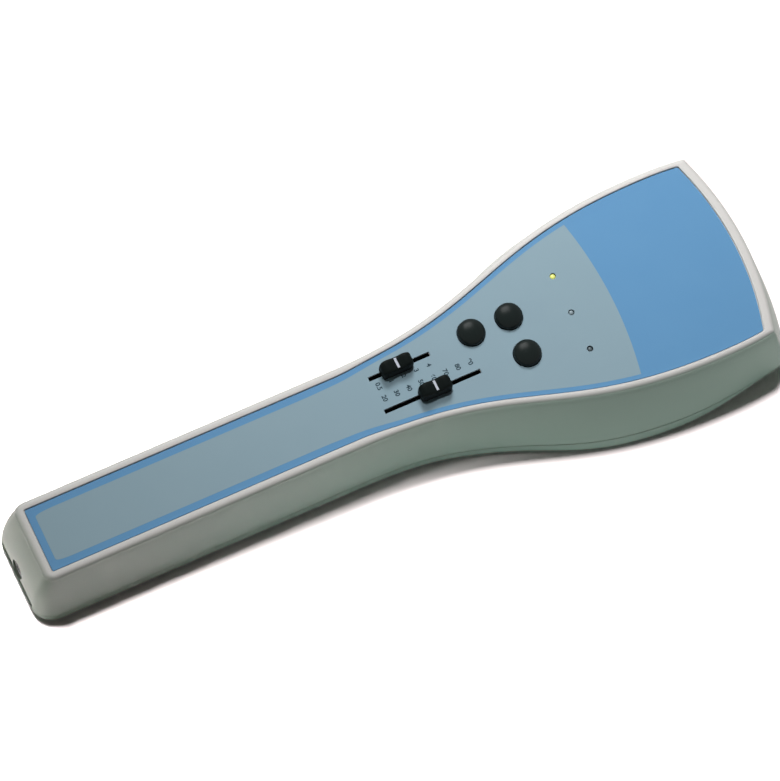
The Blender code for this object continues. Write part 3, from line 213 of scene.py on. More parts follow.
# %% World and lamps
FILL_STRENGTH = 0.03
world = bpy.data.worlds.new("studio_world")
bpy.context.scene.world = world
world.use_nodes = True
tree = world.node_tree
tree.nodes.clear()
fill = add_node(tree, "ShaderNodeBackground", {"Color": linear("#F2E8E4"),
                                               "Strength": FILL_STRENGTH})
white = add_node(tree, "ShaderNodeBackground", {"Color": linear("#FFFFFF"), "Strength": 1.0})
both = add_node(tree, "ShaderNodeMixShader", {"Fac": add_shown_rays(tree), 1: fill.outputs[0],
                                              2: white.outputs[0]})
add_node(tree, "ShaderNodeOutputWorld", {"Surface": both.outputs[0]})


def add_lamp(name, place, target, size, power, colour, spread, lights):
    """A square soft lamp that lights the object or the floor, or shows in glossy surfaces."""
    data = bpy.data.lights.new(name, "AREA")
    data.shape = "SQUARE"
    data.size = size
    data.energy = power
    data.color = linear(colour)[:3]
    data.spread = math.radians(spread)
    lamp = bpy.data.objects.new(name, data)
    lamp.location = place
    lamp.rotation_euler = (Vector(target) - Vector(place)).to_track_quat("-Z", "Y").to_euler()
    bpy.context.scene.collection.objects.link(lamp)
    lamp.visible_diffuse = lights != "gloss"
    lamp.visible_glossy = lights == "gloss"
    linked = bpy.data.collections.new(name + "_linked")
    linked.objects.link(studio_floor)
    lamp.light_linking.receiver_collection = linked
    linked.collection_objects[0].light_linking.link_state = (
        "INCLUDE" if lights == "floor" else "EXCLUDE")


LAMPS = [
    # name, place, target, size, power, colour, spread, what it lights
    ("key_box", (0.13, 0.27, 0.44), (0.09, 0.0, 0.04), 0.14, 1.56, "#F8FBFF", 180, "object"),
    ("top_box", (0.02, 0.21, 1.00), (0.16, 0.0, 0.0), 0.08, 0.84, "#F8FBFF", 88, "object"),
    ("handle_floor_box", (-0.19, 0.20, 1.00), (-0.19, -0.03, 0.0), 0.08, 0.38, "#FFFFFF", 25,
     "floor"),
    ("head_floor_box", (0.10, 0.585, 2.00), (0.0, 0.0, 0.0), 0.16, 15.0, "#FFFFFF", 100, "floor"),
    ("end_light", (-0.90, 0.20, 0.20), (-0.16, 0.0, 0.02), 0.30, 0.13, "#D9FAE5", 60, "object"),
    ("gloss_card", (0.15, 0.80, 0.74), (0.05, 0.0, 0.04), 0.60, 8.0, "#FFFFFF", 180, "gloss"),
]
for lamp_row in LAMPS:
    add_lamp(*lamp_row)
print("lamps:", [row[0] for row in LAMPS])

# %% [markdown]
# ## Moulded ABS for the shells
#
# ABS for instrument housings is injection moulded against a finely eroded steel mould. The eye
# sees an even warm grey with a satin gloss, broken by a grain of about half a millimetre, and
# slightly deeper colour where hands and dust reach. Here the tone only varies in faint random
# clouds of about 35 mm. The grain is drawn at 0.45 mm, since the real one of about 0.1 mm is too
# fine to show in the render.

# %% Material: moulded ABS
ABS_CLOUD = 0.035
ABS_GRAIN = 0.00045
GRAIN_DEPTH = 0.00003
abs_shell, tree = new_material("moulded_abs_warm_grey")
tone = add_mix(tree, add_noise(tree, ABS_CLOUD, 3.0), linear("#DAD5CF"), linear("#E1DCD6"))
grain = add_noise(tree, ABS_GRAIN, 2.0, Roughness=0.6)
gloss = add_node(tree, "ShaderNodeMapRange", {
    "Value": grain, "From Min": 0.3, "From Max": 0.7, "To Min": 0.40, "To Max": 0.52})
add_surface(tree, {
    "Base Color": tone, "Roughness": gloss.outputs[0], "IOR": 1.53, "Specular IOR Level": 0.3,
    "Normal": add_bump(tree, grain, 0.25, GRAIN_DEPTH)})
print("made", abs_shell.name)

# %% [markdown]
# ## Printed film for the front label
#
# The front is a polycarbonate film printed from behind, so its colours lie under a lightly
# frosted, satin surface. Two inks are used, a grey blue field and a clear mid blue. Each ink is
# nearly even, with a faint cloudiness from the printing, and the frost is a very fine grain.

# %% Material: printed polycarbonate film
INK_CLOUD = 0.020
FROST_GRAIN = 0.00030
FROST_DEPTH = 0.00002


def printed_film(name, ink, deeper_ink):
    """Frosted polycarbonate film over one ink."""
    material, tree = new_material(name)
    cloudy = add_noise(tree, INK_CLOUD, 2.0)
    frost = add_noise(tree, FROST_GRAIN, 1.0)
    add_surface(tree, {
        "Base Color": add_mix(tree, cloudy, linear(ink), linear(deeper_ink)),
        "Roughness": 0.42, "IOR": 1.58, "Specular IOR Level": 0.2,
        "Normal": add_bump(tree, frost, 0.15, FROST_DEPTH)})
    return material


film_blue = printed_film("printed_film_blue", "#679AC2", "#6296C0")
film_grey = printed_film("printed_film_grey_blue", "#94ABB4", "#8FA7B1")
print("made", film_blue.name, "and", film_grey.name)

# %% [markdown]
# ## Plain moulded and metal finishes
#
# Most other parts have one of two kinds of finish: a moulded plastic or rubber with a fine
# grain, or a plated or drawn metal with faint marks. Both are made by one function each, with
# the colours, gloss and grain size of each real material in a table.

# %% Materials: plastics and rubbers
PLASTICS = {
    # name: (colour, second colour, roughness, gloss level, grain in metres, relief strength)
    "moulded_abs_black": ("#0A0F0E", "#0E1413", 0.50, 0.06, 0.00040, 0.20),
    "silicone_rubber_black": ("#0D1615", "#131C1A", 0.30, 0.13, 0.00035, 0.15),
    "filled_nylon_black": ("#0E0F0F", "#131514", 0.60, 0.08, 0.00050, 0.40),
    "pbt_black": ("#16191A", "#1E2122", 0.48, 0.15, 0.00040, 0.30),
    "abs_dark_grey": ("#33373A", "#3A3E41", 0.50, 0.20, 0.00050, 0.35),
    "pressed_paper_cone": ("#1C1B1A", "#26231F", 0.85, 0.10, 0.00080, 0.80),
    "woven_dust_cloth": ("#101112", "#1D1F20", 0.95, 0.05, 0.00040, 1.00),
    "closed_cell_foam": ("#1B1C1D", "#27292A", 0.90, 0.05, 0.00060, 0.90),
    "pvc_lead_red": ("#A01E1B", "#AA2622", 0.42, 0.30, 0.00060, 0.20),
    "pvc_lead_black": ("#151515", "#1C1C1C", 0.42, 0.30, 0.00060, 0.20),
    "index_paint_white": ("#CDD0D8", "#C4C8D0", 0.45, 0.20, 0.00030, 0.20),
    "scale_ink_dark": ("#2E3F47", "#35474F", 0.50, 0.15, 0.00030, 0.10),
    # The last two are painted shade: dark colours for the cut faces of the front's slots and
    # holes.
    "painted_shade_grey_edge": ("#465659", "#3E4D50", 0.70, 0.05, 0.00030, 0.10),
    "painted_shade_black_edge": ("#0B1010", "#0F1414", 0.70, 0.05, 0.00030, 0.10),
}
plastic = {}
for name, (colour, second, roughness, level, size, strength) in PLASTICS.items():
    plastic[name], tree = new_material(name)
    grain = add_noise(tree, size, 2.0)
    add_surface(tree, {
        "Base Color": add_mix(tree, grain, linear(colour), linear(second)),
        "Roughness": roughness, "Specular IOR Level": level,
        "Normal": add_bump(tree, grain, strength, GRAIN_DEPTH)})
print("made", len(plastic), "plastics")

# %% Materials: metals
METALS = {
    # name: (colour, roughness, length of the marks along X in metres)
    "zinc_plated_steel": ("#B9B8B2", 0.34, 0.0012),
    "nickel_plated_brass": ("#CFCBC1", 0.22, 0.0020),
    "ferrite_and_steel": ("#3A3B3D", 0.46, 0.0010),
    "stamped_basket_steel": ("#8E908F", 0.40, 0.0030),
}
MARK_SLIMNESS = 12
SMOOTHER, ROUGHER = 0.08, 0.10
MARK_DEPTH = 0.00001
metal = {}
for name, (colour, roughness, length) in METALS.items():
    metal[name], tree = new_material(name)
    drawn = add_node(tree, "ShaderNodeMapping", {
        "Vector": object_coords(tree),
        "Scale": (1 / length, MARK_SLIMNESS / length, MARK_SLIMNESS / length)})
    marks = add_node(tree, "ShaderNodeTexNoise", {
        "Vector": drawn.outputs[0], "Scale": 1.0, "Detail": 2.0}).outputs["Fac"]
    gloss = add_node(tree, "ShaderNodeMapRange", {
        "Value": marks, "To Min": roughness - SMOOTHER, "To Max": roughness + ROUGHER})
    add_surface(tree, {
        "Base Color": linear(colour), "Metallic": 1.0, "Roughness": gloss.outputs[0],
        "Normal": add_bump(tree, marks, 0.2, MARK_DEPTH)})
print("made", len(metal), "metals")

# %% [markdown]
# ## The outline that the whole case follows
#
# Both shells, the door and the label follow one outline seen from the front: a straight handle
# with round corners, a neck that swells in an S-curve, a head with slightly barrelled sides and
# a shallow arc at its end. The CAD draws it with few points. Here the same curves are sampled
# much more finely, so that the rim and its highlight run smoothly. At each point the outline
# also knows its outward direction, how far the wall leans out and bulges, how wide and how round
# the rim is, and how round the lower edge is.

# %% Sizes that the CAD gives
def middle_of(node):
    """The middle of a CAD node's box."""
    low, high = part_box(node)
    return (low + high) / 2


TOTAL_HEIGHT = 0.0405
PARTING_HEIGHT = 0.0065
WALL = 0.0024
PANEL_THICKNESS = 0.0020
PANEL_RECESS = 0.0013
HANDLE_RIM_ROUND = 0.0018
HEAD_RIM_ROUND = 0.0015
RIM_EDGE = 0.0004
FLOOR_ROUND_SHARE = 0.92
INNER_FLOOR_ROUND = 0.0010
LIP_HEIGHT = 0.0020
LIP_THICKNESS = 0.0012
CLEARANCE = 0.0003
CUT_OVERRUN = 0.0020
PARTING_CHAMFER = 0.00020

HANDLE_HALF_WIDTH = 0.0174
HEAD_HALF_WIDTH = 0.0429
HEAD_CORNER_TAPER = 0.0013
HEAD_END_BULGE = 0.0067
HANDLE_CORNER_ROUND = 0.0040
HEAD_CORNER_ROUND = 0.0008
HEAD_CORNER_REACH = 0.0050
HANDLE_RIM = 0.0032
HEAD_SIDE_RIM = 0.0024
HEAD_END_RIM = 0.0040
HEAD_TAPER_LENGTH = 0.0213
RIM_BLEND_LENGTH = 0.0200
HANDLE_END_SLOPE_SHARE = 0.185
HANDLE_END_BULGE_SHARE = 0.055
HANDLE_END_ROUND_SHARE = 0.74
HEAD_END_SLOPE_SHARE = 0.27
SIDE_SLOPE_SHARES = ((0.0, 0.128), (0.17, 0.130), (0.28, 0.165), (0.37, 0.190), (0.43, 0.215),
                     (0.50, 0.250), (0.57, 0.268), (0.66, 0.266), (0.75, 0.252), (0.82, 0.238),
                     (0.88, 0.208), (0.94, 0.180), (1.0, 0.160))
SIDE_ROUND_SHARES = ((0.0, 0.50), (0.40, 0.50), (0.58, 0.27), (0.80, 0.27), (0.90, 0.70),
                     (0.97, 1.0))
SHARE_EASE = 0.05
NECK_PULL_SHARE = 0.469
HEAD_PULL_SHARE = 0.485
HEAD_BARREL_SHARE = 0.45

POT_END = 0.0040
NECK_LEAD = 0.0135
LAMP_TO_RIM = 0.0080
panel_start_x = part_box("front_label")[0].x - CLEARANCE
slot_start_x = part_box("pot_short")[0].x + POT_END
neck_start_x = slot_start_x - NECK_LEAD
rim_apex_x = middle_of("lamp_lens").x + LAMP_TO_RIM
rim_corner_x = rim_apex_x - HEAD_END_BULGE
head_corner_half_width = HEAD_HALF_WIDTH - HEAD_CORNER_TAPER
head_widest_x = rim_corner_x - HEAD_TAPER_LENGTH
parting_depth = TOTAL_HEIGHT - PARTING_HEIGHT
largest_round = PARTING_HEIGHT * FLOOR_ROUND_SHARE
end_round = PARTING_HEIGHT * HANDLE_END_ROUND_SHARE
end_bulge = HANDLE_END_BULGE_SHARE * (TOTAL_HEIGHT - end_round)
panel_floor = TOTAL_HEIGHT - PANEL_RECESS
panel_underside = panel_floor - PANEL_THICKNESS
print("panel starts at %.1f mm, rim ends at %.1f mm" % (panel_start_x * 1000,
                                                        rim_apex_x * 1000))

# %% The outline
CORNER_STEPS = 10
NECK_STEPS = 56
HEAD_SIDE_STEPS = 14
HEAD_END_STEPS = 26
HANDLE_STEPS = 12


def bezier(points, steps):
    """Points along a curve drawn by two, three or four control points, without its last."""
    result = []
    for step in range(steps):
        t = step / steps
        level = [Vector(point) for point in points]
        while len(level) > 1:
            level = [a.lerp(b, t) for a, b in zip(level, level[1:])]
        result.append(level[0])
    return result


def towards(angle):
    """A step of length one, at an angle from X."""
    return Vector((math.cos(angle), math.sin(angle)))


def smooth_step(value):
    """A share of a run, eased at both ends."""
    value = min(max(value, 0.0), 1.0)
    return value * value * (3 - 2 * value)


def half_outline():
    """The rim's outer edge from the middle of the head's end to the middle of the handle's."""
    end_radius = (head_corner_half_width ** 2 + HEAD_END_BULGE ** 2) / (2 * HEAD_END_BULGE)
    corner_angle = math.asin(head_corner_half_width / end_radius)
    trimmed_angle = corner_angle - HEAD_CORNER_REACH / end_radius
    end_centre = Vector((rim_apex_x - end_radius, 0))
    points = [end_centre + end_radius * towards(trimmed_angle * step / HEAD_END_STEPS)
              for step in range(HEAD_END_STEPS)]
    corner = Vector((rim_corner_x, head_corner_half_width))
    barrel = Vector((rim_corner_x - HEAD_TAPER_LENGTH * (1 - HEAD_BARREL_SHARE),
                     HEAD_HALF_WIDTH))
    widest = Vector((head_widest_x, HEAD_HALF_WIDTH))
    before = corner + (barrel - corner).normalized() * HEAD_CORNER_REACH
    after = end_centre + end_radius * towards(trimmed_angle)
    points += bezier([after, corner, before], CORNER_STEPS)
    points += bezier([before, barrel, widest], HEAD_SIDE_STEPS)
    neck_run = head_widest_x - neck_start_x
    neck = Vector((neck_start_x, HANDLE_HALF_WIDTH))
    head_pull = Vector((head_widest_x - neck_run * HEAD_PULL_SHARE, HEAD_HALF_WIDTH))
    neck_pull = Vector((neck_start_x + neck_run * NECK_PULL_SHARE, HANDLE_HALF_WIDTH))
    points += bezier([widest, head_pull, neck_pull, neck], NECK_STEPS)
    corner_centre = Vector((panel_start_x + HANDLE_CORNER_ROUND - HANDLE_RIM,
                            HANDLE_HALF_WIDTH - HANDLE_CORNER_ROUND))
    handle_corner = Vector((corner_centre.x, HANDLE_HALF_WIDTH))
    points += bezier([neck, handle_corner], HANDLE_STEPS)
    for step in range(CORNER_STEPS + 1):
        angle = math.pi / 2 * (1 + step / CORNER_STEPS)
        points.append(corner_centre + HANDLE_CORNER_ROUND * towards(angle))
    points.append(Vector((panel_start_x - HANDLE_RIM, 0)))
    return points


def table_value(table, share):
    """A table's value at a share of its run, eased over its corners."""
    total, samples = 0.0, 5
    for sample in range(samples):
        at = share + SHARE_EASE * (sample / (samples - 1) * 2 - 1)
        value = table[-1][1]
        for (first, low), (second, high) in zip(table, table[1:]):
            if at <= second:
                value = low + (high - low) * max(0.0, (at - first) / (second - first))
                break
        total += value
    return total / samples


def full_outline():
    """Each outline point with its outward direction and the shape of the wall there: its slope
    and bulge, the rim's width, the round of the rim's shoulder and the round at the floor."""
    upper = half_outline()
    points = upper + [Vector((point.x, -point.y)) for point in reversed(upper[1:-1])]
    result = []
    for i, point in enumerate(points):
        first = (point - points[i - 1]).normalized()
        second = (points[(i + 1) % len(points)] - point).normalized()
        normals = [Vector((edge.y, -edge.x)) for edge in (first, second)]
        outward = (normals[0] + normals[1]) / (1 + normals[0].dot(normals[1]))
        share = (point.x - neck_start_x) / (rim_corner_x - neck_start_x)
        slope = table_value(SIDE_SLOPE_SHARES, share)
        blend = smooth_step((point.x - neck_start_x) / RIM_BLEND_LENGTH)
        rim = HANDLE_RIM + (HEAD_SIDE_RIM - HANDLE_RIM) * blend
        shoulder = HANDLE_RIM_ROUND + (HEAD_RIM_ROUND - HANDLE_RIM_ROUND) * blend
        floor_round = largest_round * table_value(SIDE_ROUND_SHARES, share)
        if share > 1.0:
            slope, rim = HEAD_END_SLOPE_SHARE, HEAD_END_RIM
        facing = min(1.0, max(0.0, -outward.x) ** 2) if share < 0.0 else 0.0
        slope += (HANDLE_END_SLOPE_SHARE - slope) * facing
        floor_round += (end_round - floor_round) * facing
        result.append((point, outward, slope, end_bulge * facing, rim, shoulder, floor_round))
    return result


OUTLINE = full_outline()
corner_end = HEAD_END_STEPS + CORNER_STEPS
HEAD_CORNERS = ((HEAD_END_STEPS, corner_end),
                (len(OUTLINE) - corner_end, len(OUTLINE) - HEAD_END_STEPS))


def moved_outline(reaches):
    """The outline moved outwards by a reach at each point. Each corner of the head is drawn
    afresh where the moved end and side meet, so that it stays sharp at any reach."""
    points = [row[0] + row[1] * reach for row, reach in zip(OUTLINE, reaches)]
    for first, last in HEAD_CORNERS:
        start, end = points[first], points[last]
        ahead = (start - points[first - 1]).normalized()
        back = (end - points[last + 1]).normalized()
        corner = start + ahead * ((end - start).cross(back) / ahead.cross(back))
        arms = [corner - ahead * HEAD_CORNER_ROUND, corner, corner - back * HEAD_CORNER_ROUND]
        points[first + 1:last] = bezier(arms, CORNER_STEPS - 2) + [arms[-1]]
    return points


print("outline points:", len(OUTLINE))

# %% Rings and lofts
ROUND_STEPS = 8
COVE_HEIGHT = 0.0036
COVE_DEPTH = 0.00016
COVE_STEPS = 8
COVE_SKEW = 0.6
WALL_STEPS = 6
SHARP_ANGLE = 32


def wall_reach(depth, slope, bulge, floor_round):
    """How far the wall stands out from the rim's edge at a depth."""
    run = TOTAL_HEIGHT - floor_round
    share = min(1.0, depth / run)
    return slope * run * share + 4 * bulge * share * (1 - share)


def uneven_ring(reaches, heights):
    """The outline with a reach and a height of its own at each point."""
    return [(*point, height) for point, height in zip(moved_outline(reaches), heights)]


def ring(depth, inset=0.0):
    """The outline at a depth on the sloping wall, moved in by an inset."""
    reaches = [wall_reach(depth, slope, bulge, floor_round) - inset
               for position, outward, slope, bulge, rim, shoulder, floor_round in OUTLINE]
    return [(*point, TOTAL_HEIGHT - depth) for point in moved_outline(reaches)]


def panel_ring(depth, inset=0.0):
    """The outline of the recessed panel, whose walls are upright."""
    reaches = [-rim - inset for position, outward, slope, bulge, rim, *_ in OUTLINE]
    return [(*point, TOTAL_HEIGHT - depth) for point in moved_outline(reaches)]


def shoulder_rings():
    """The rim's round shoulder, and the shallow cove under it."""
    rings = []
    for step in range(ROUND_STEPS + COVE_STEPS + 1):
        angle = math.pi / 2 * min(1.0, step / ROUND_STEPS)
        share = max(0, step - ROUND_STEPS) / COVE_STEPS
        reaches, heights = [], []
        for position, outward, slope, bulge, rim, shoulder, floor_round in OUTLINE:
            depth = shoulder * (1 - math.cos(angle)) + COVE_HEIGHT * share
            reaches.append(wall_reach(depth, slope, bulge, floor_round)
                           - shoulder * (1 - math.sin(angle))
                           - COVE_DEPTH * math.sin(math.pi * share ** COVE_SKEW))
            heights.append(TOTAL_HEIGHT - depth)
        rings.append(uneven_ring(reaches, heights))
    return rings


def floor_rings(wall, floor_height, inner_round=None):
    """The rounded edge between the wall and the floor, from the floor outwards."""
    rings = []
    for step in range(ROUND_STEPS + 1):
        angle = math.pi / 2 * step / ROUND_STEPS
        reaches, heights = [], []
        for position, outward, slope, bulge, rim, shoulder, floor_round in OUTLINE:
            radius = inner_round or floor_round
            height = floor_height + radius * (1 - math.cos(angle))
            reach = wall_reach(TOTAL_HEIGHT - max(height, floor_round), slope, bulge, floor_round)
            reaches.append(reach - wall - radius * (1 - math.sin(angle)))
            heights.append(height)
        rings.append(uneven_ring(reaches, heights))
    return rings


def new_object(name, mesh, materials=()):
    """An object of this scene, at the origin, with its materials."""
    item = bpy.data.objects.new(name, mesh)
    bpy.context.scene.collection.objects.link(item)
    for material in materials:
        mesh.materials.append(material)
    return item


def mesh_object(name, bm, materials=()):
    """Turns a bmesh into an object, with its faces pointing outwards."""
    mesh = bpy.data.meshes.new(name)
    bmesh.ops.recalc_face_normals(bm, faces=bm.faces)
    bm.to_mesh(mesh)
    bm.free()
    return new_object(name, mesh, materials)


def shade(item):
    """Smooth shading, with sharp edges where faces meet at a large angle."""
    item.data.shade_smooth()
    item.data.set_sharp_from_angle(angle=math.radians(SHARP_ANGLE))


def bridge(bm, loops):
    """Joins each ring of corners to the next by a band of faces."""
    for first, second in zip(loops, loops[1:]):
        for i in range(len(first)):
            bm.faces.new((first[i - 1], first[i], second[i], second[i - 1]))


def loft(name, rings, materials=()):
    """A closed body from rings of points, its first and last ring covered by strips across."""
    bm = bmesh.new()
    loops = [[bm.verts.new(point) for point in points] for points in rings]
    for cap in (loops[0], loops[-1]):
        middle = len(cap) // 2
        bm.faces.new((cap[-1], cap[0], cap[1]))
        for i in range(1, middle - 2):
            bm.faces.new((cap[i], cap[i + 1], cap[-i - 1], cap[-i]))
        bm.faces.new(cap[middle - 2:middle + 3])
    bridge(bm, loops)
    return mesh_object(name, bm, materials)


print("rings of", len(ring(0.0)), "points")

# %% Cutters
BOOLEAN_KINDS = {"cut": "DIFFERENCE", "join": "UNION", "keep": "INTERSECT"}


def add_block(bm, low, high):
    """Adds a box between two corners to a mesh."""
    low, high = Vector(low), Vector(high)
    matrix = Matrix.Translation((low + high) / 2) @ Matrix.Diagonal((*(high - low), 1.0))
    bmesh.ops.create_cube(bm, size=1.0, matrix=matrix)


def add_rod(bm, radius, start, end, sides=24):
    """Adds a capped cylinder between two points to a mesh."""
    start, end = Vector(start), Vector(end)
    run = end - start
    turn = run.to_track_quat("Z", "Y").to_matrix().to_4x4()
    bmesh.ops.create_cone(bm, cap_ends=True, segments=sides, radius1=radius, radius2=radius,
                          depth=run.length, matrix=Matrix.Translation((start + end) / 2) @ turn)


def add_post(bm, radius, spot, low, high, sides=24):
    """Adds an upright capped cylinder between two heights to a mesh."""
    add_rod(bm, radius, (spot.x, spot.y, low), (spot.x, spot.y, high), sides)


def plain_mesh(item):
    """A new mesh of an item as it shows, with its modifiers."""
    graph = bpy.context.evaluated_depsgraph_get()
    return bpy.data.meshes.new_from_object(item.evaluated_get(graph))


def bake_modifiers(item):
    """Turns a piece's modifiers into its plain mesh."""
    made = plain_mesh(item)
    item.modifiers.clear()
    item.data = made
    return item


def shape(item, *steps):
    """Cuts, joins or keeps the common part with each cutter, then bakes and drops the cutters.
    Faces that a cutter leaves take its colour, if the step names one, such as painted shade."""
    cutters = []
    for kind, cutter, *ink in steps:
        if isinstance(cutter, bmesh.types.BMesh):
            cutter = mesh_object("cutter", cutter, ink)
        modifier = item.modifiers.new(kind, "BOOLEAN")
        modifier.operation = BOOLEAN_KINDS[kind]
        modifier.solver = "EXACT"
        modifier.material_mode = "TRANSFER"
        modifier.object = cutter
        cutters.append(cutter)
    bake_modifiers(item)
    for cutter in cutters:
        bpy.data.objects.remove(cutter)
    return item


SLOT_WIDTH = 0.0016
SLOTS = {name: (slot_start_x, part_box("pot_" + name)[1].x - POT_END, middle_of("pot_" + name).y)
         for name in ("short", "long")}
KEYS = {name: middle_of("key_" + name) for name in ("select", "light", "stimulus")}
LEDS = {name: middle_of("led_" + name) for name in ("far", "middle", "near")}
KEY_RADIUS = 0.0057
LED_RADIUS = 0.0012
LED_GAP = 0.0001
HOLE_SIDES = 56


def slot_cutters(margin, low, high):
    """Both slots of the slide levers."""
    bm = bmesh.new()
    for start, end, y in SLOTS.values():
        add_block(bm, (start - margin, y - SLOT_WIDTH / 2 - margin, low),
                  (end + margin, y + SLOT_WIDTH / 2 + margin, high))
    return bm


def front_holes(low, high):
    """Holes for keys and indicator lamps."""
    bm = bmesh.new()
    for radius, places in ((KEY_RADIUS + CLEARANCE, KEYS), (LED_RADIUS + LED_GAP, LEDS)):
        for spot in places.values():
            add_post(bm, radius, spot, low, high, HOLE_SIDES)
    return bm


def cut_front(item, margin, low, high):
    """Cuts the slots and round holes. Their cut faces get painted shade, black and grey."""
    shape(item, ("cut", slot_cutters(margin, low, high), plastic["painted_shade_black_edge"]),
          ("cut", front_holes(low, high), plastic["painted_shade_grey_edge"]))


def screw_spots(label, count):
    """The middles of a group of screws."""
    return [middle_of("%s_%d" % (label, number)) for number in range(1, count + 1)]


print("slots:", SLOTS)

# %% [markdown]
# ## The upper shell
#
# It is the case's main moulding: a rim round the recessed front, a round shoulder, walls that
# lean out, and posts inside for the screws. The outside is a loft, which means rings of points
# joined by faces. Cutters then open the slots, the holes for keys and lamps, the slot at the
# handle's end and the socket's hole, as a mould's core pins would. The cut faces of the two
# slide slots are painted black and those of the round holes grey. This is painted shade, as
# the gaps show dark in the photograph.

# %% Upper shell
RIM_EDGE_STEPS = 3
END_SLOT_HEIGHT = 0.0052
END_SLOT_MARGIN = 0.0012
DOOR_HALF_WIDTH = 0.0133
SOCKET_HOLE_RADIUS = 0.0043
SOCKET_HOLE_SIDES = 48
SCREW_RADIUS = 0.0015
SCREW_LENGTH = 0.0110
SCREW_SEAT_HEIGHT = 0.0115
POST_TOP_HEIGHT = 0.0140
UPPER_POST_RADIUS = 0.0036
LOWER_POST_RADIUS = 0.0042
SCREW_HEAD_RADIUS = 0.0028
BOARD_POST_RADIUS = 0.0024
BOARD_SCREW_RADIUS = 0.0010
BOARD_SCREW_LENGTH = 0.0060

housing_spots = screw_spots("housing_screw", 6)
board_spots = screw_spots("board_screw", 4)
board_base, board_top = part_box("main_board")[0].z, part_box("main_board")[1].z
tray_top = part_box("battery_tray")[1].z
socket_height = middle_of("socket").z
prop_spots = [Vector((middle_of("cell_%d" % number).x, 0)) for number in (1, 2)]
embed = panel_underside + PANEL_THICKNESS / 2

rings = [panel_ring(PANEL_RECESS), panel_ring(RIM_EDGE)]
for step in range(1, RIM_EDGE_STEPS + 1):
    angle = math.pi / 2 * step / RIM_EDGE_STEPS
    rings.append(panel_ring(RIM_EDGE * (1 - math.sin(angle)), -RIM_EDGE * (1 - math.cos(angle))))
wall_bottom = parting_depth - PARTING_CHAMFER
depths = [wall_bottom * step / WALL_STEPS for step in range(2, WALL_STEPS + 1)]
rings += shoulder_rings() + [ring(depth) for depth in depths]
rings += [ring(parting_depth, PARTING_CHAMFER), ring(parting_depth, WALL)]
rings += [ring(depth, WALL) for depth in reversed(depths)]
rings.append(ring(PANEL_RECESS + PANEL_THICKNESS, WALL))
shell_upper = loft("shell_upper", rings, [abs_shell])

posts, bores = bmesh.new(), bmesh.new()
foot = POST_TOP_HEIGHT + CLEARANCE
for spot in housing_spots:
    add_post(posts, UPPER_POST_RADIUS, spot, foot, embed)
    add_post(bores, SCREW_RADIUS + CLEARANCE, spot, foot - CUT_OVERRUN,
             SCREW_SEAT_HEIGHT + SCREW_LENGTH + CLEARANCE)
foot = board_top + CLEARANCE
for spot in board_spots:
    add_post(posts, BOARD_POST_RADIUS, spot, foot, embed)
    add_post(bores, BOARD_SCREW_RADIUS + CLEARANCE, spot, foot - CUT_OVERRUN,
             board_base + BOARD_SCREW_LENGTH + CLEARANCE)
for spot in prop_spots:
    add_post(posts, BOARD_POST_RADIUS, spot, tray_top + CLEARANCE, embed)

outside_x = cad_box[0].x - CUT_OVERRUN
inside_x = panel_start_x - HANDLE_RIM
end_slot, socket_hole = bmesh.new(), bmesh.new()
slot_half = DOOR_HALF_WIDTH + CLEARANCE + END_SLOT_MARGIN
add_block(end_slot, (outside_x, -slot_half, PARTING_HEIGHT - CUT_OVERRUN),
          (inside_x, slot_half, PARTING_HEIGHT + END_SLOT_HEIGHT))
add_rod(socket_hole, SOCKET_HOLE_RADIUS, (outside_x, 0, socket_height),
        (inside_x, 0, socket_height), SOCKET_HOLE_SIDES)
low, high = panel_underside - CUT_OVERRUN / 2, TOTAL_HEIGHT + CUT_OVERRUN
shape(shell_upper, ("join", posts), ("cut", bores), ("cut", end_slot), ("cut", socket_hole))
cut_front(shell_upper, 0.0, low, high)
shade(shell_upper)
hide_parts("upper_shell")
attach(shell_upper, "housing")
print("upper shell faces:", len(shell_upper.data.polygons))

# %% [markdown]
# ## The printed label
#
# The label is one film with a blue print that shows as a stripe all round the handle and neck
# and as the whole head. The grey field lies on it as a second, thinner layer of print: it keeps
# about 3 mm from the edge in the handle, about 2 mm in the neck, and ends in an arc that bulges
# towards the head. Both layers are cut with the same slots and holes.

# %% Label
LABEL_THICKNESS = 0.00045
PRINT_THICKNESS = 0.00003
STRIPE_HANDLE = 0.0030
STRIPE_NECK = 0.0019
ARC_EDGE_X = 0.09373
ARC_BULGE = 0.0037
STRIPE_SHIFT = 0.4
FIELD_CORNER_ROUND = 0.0013
FIELD_CORNER_STEPS = 6
FILM_CHAMFER = 0.0001
HALVINGS = 20
ARC_STEPS = 24
label_base = panel_floor + CLEARANCE
label_top = label_base + LABEL_THICKNESS


def label_ring(height, inset):
    """A ring of the label at a height, moved in by an inset."""
    return [(x, y, height) for x, y, z in panel_ring(0.0, CLEARANCE + inset)]


film_top = label_top - PRINT_THICKNESS
label_film = loft("label_film", [label_ring(label_base, 0.0),
                                 label_ring(film_top - FILM_CHAMFER, 0.0),
                                 label_ring(film_top, FILM_CHAMFER)], [film_blue])
low, high = label_base - CLEARANCE, TOTAL_HEIGHT + CUT_OVERRUN
cut_front(label_film, CLEARANCE / 2, low, high)
shade(label_film)
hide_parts("front_label")
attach(label_film, "housing")


def stripe_width(x):
    """The blue stripe narrows from the handle to the neck."""
    return STRIPE_HANDLE + (STRIPE_NECK - STRIPE_HANDLE) * smooth_step(
        (x - neck_start_x) / (2 * RIM_BLEND_LENGTH) + STRIPE_SHIFT)


edge_points = []
for position, outward, slope, bulge, rim, *_ in OUTLINE[:len(OUTLINE) // 2 + 1]:
    edge_points.append(position - outward * (rim + CLEARANCE + stripe_width(position.x)))
edge_half = max(point.y for point in edge_points if point.x < ARC_EDGE_X)


def arc_x(y):
    """Where the field's arc lies, at a distance from the middle line."""
    return ARC_EDGE_X + ARC_BULGE * (1 - (y / edge_half) ** 2)


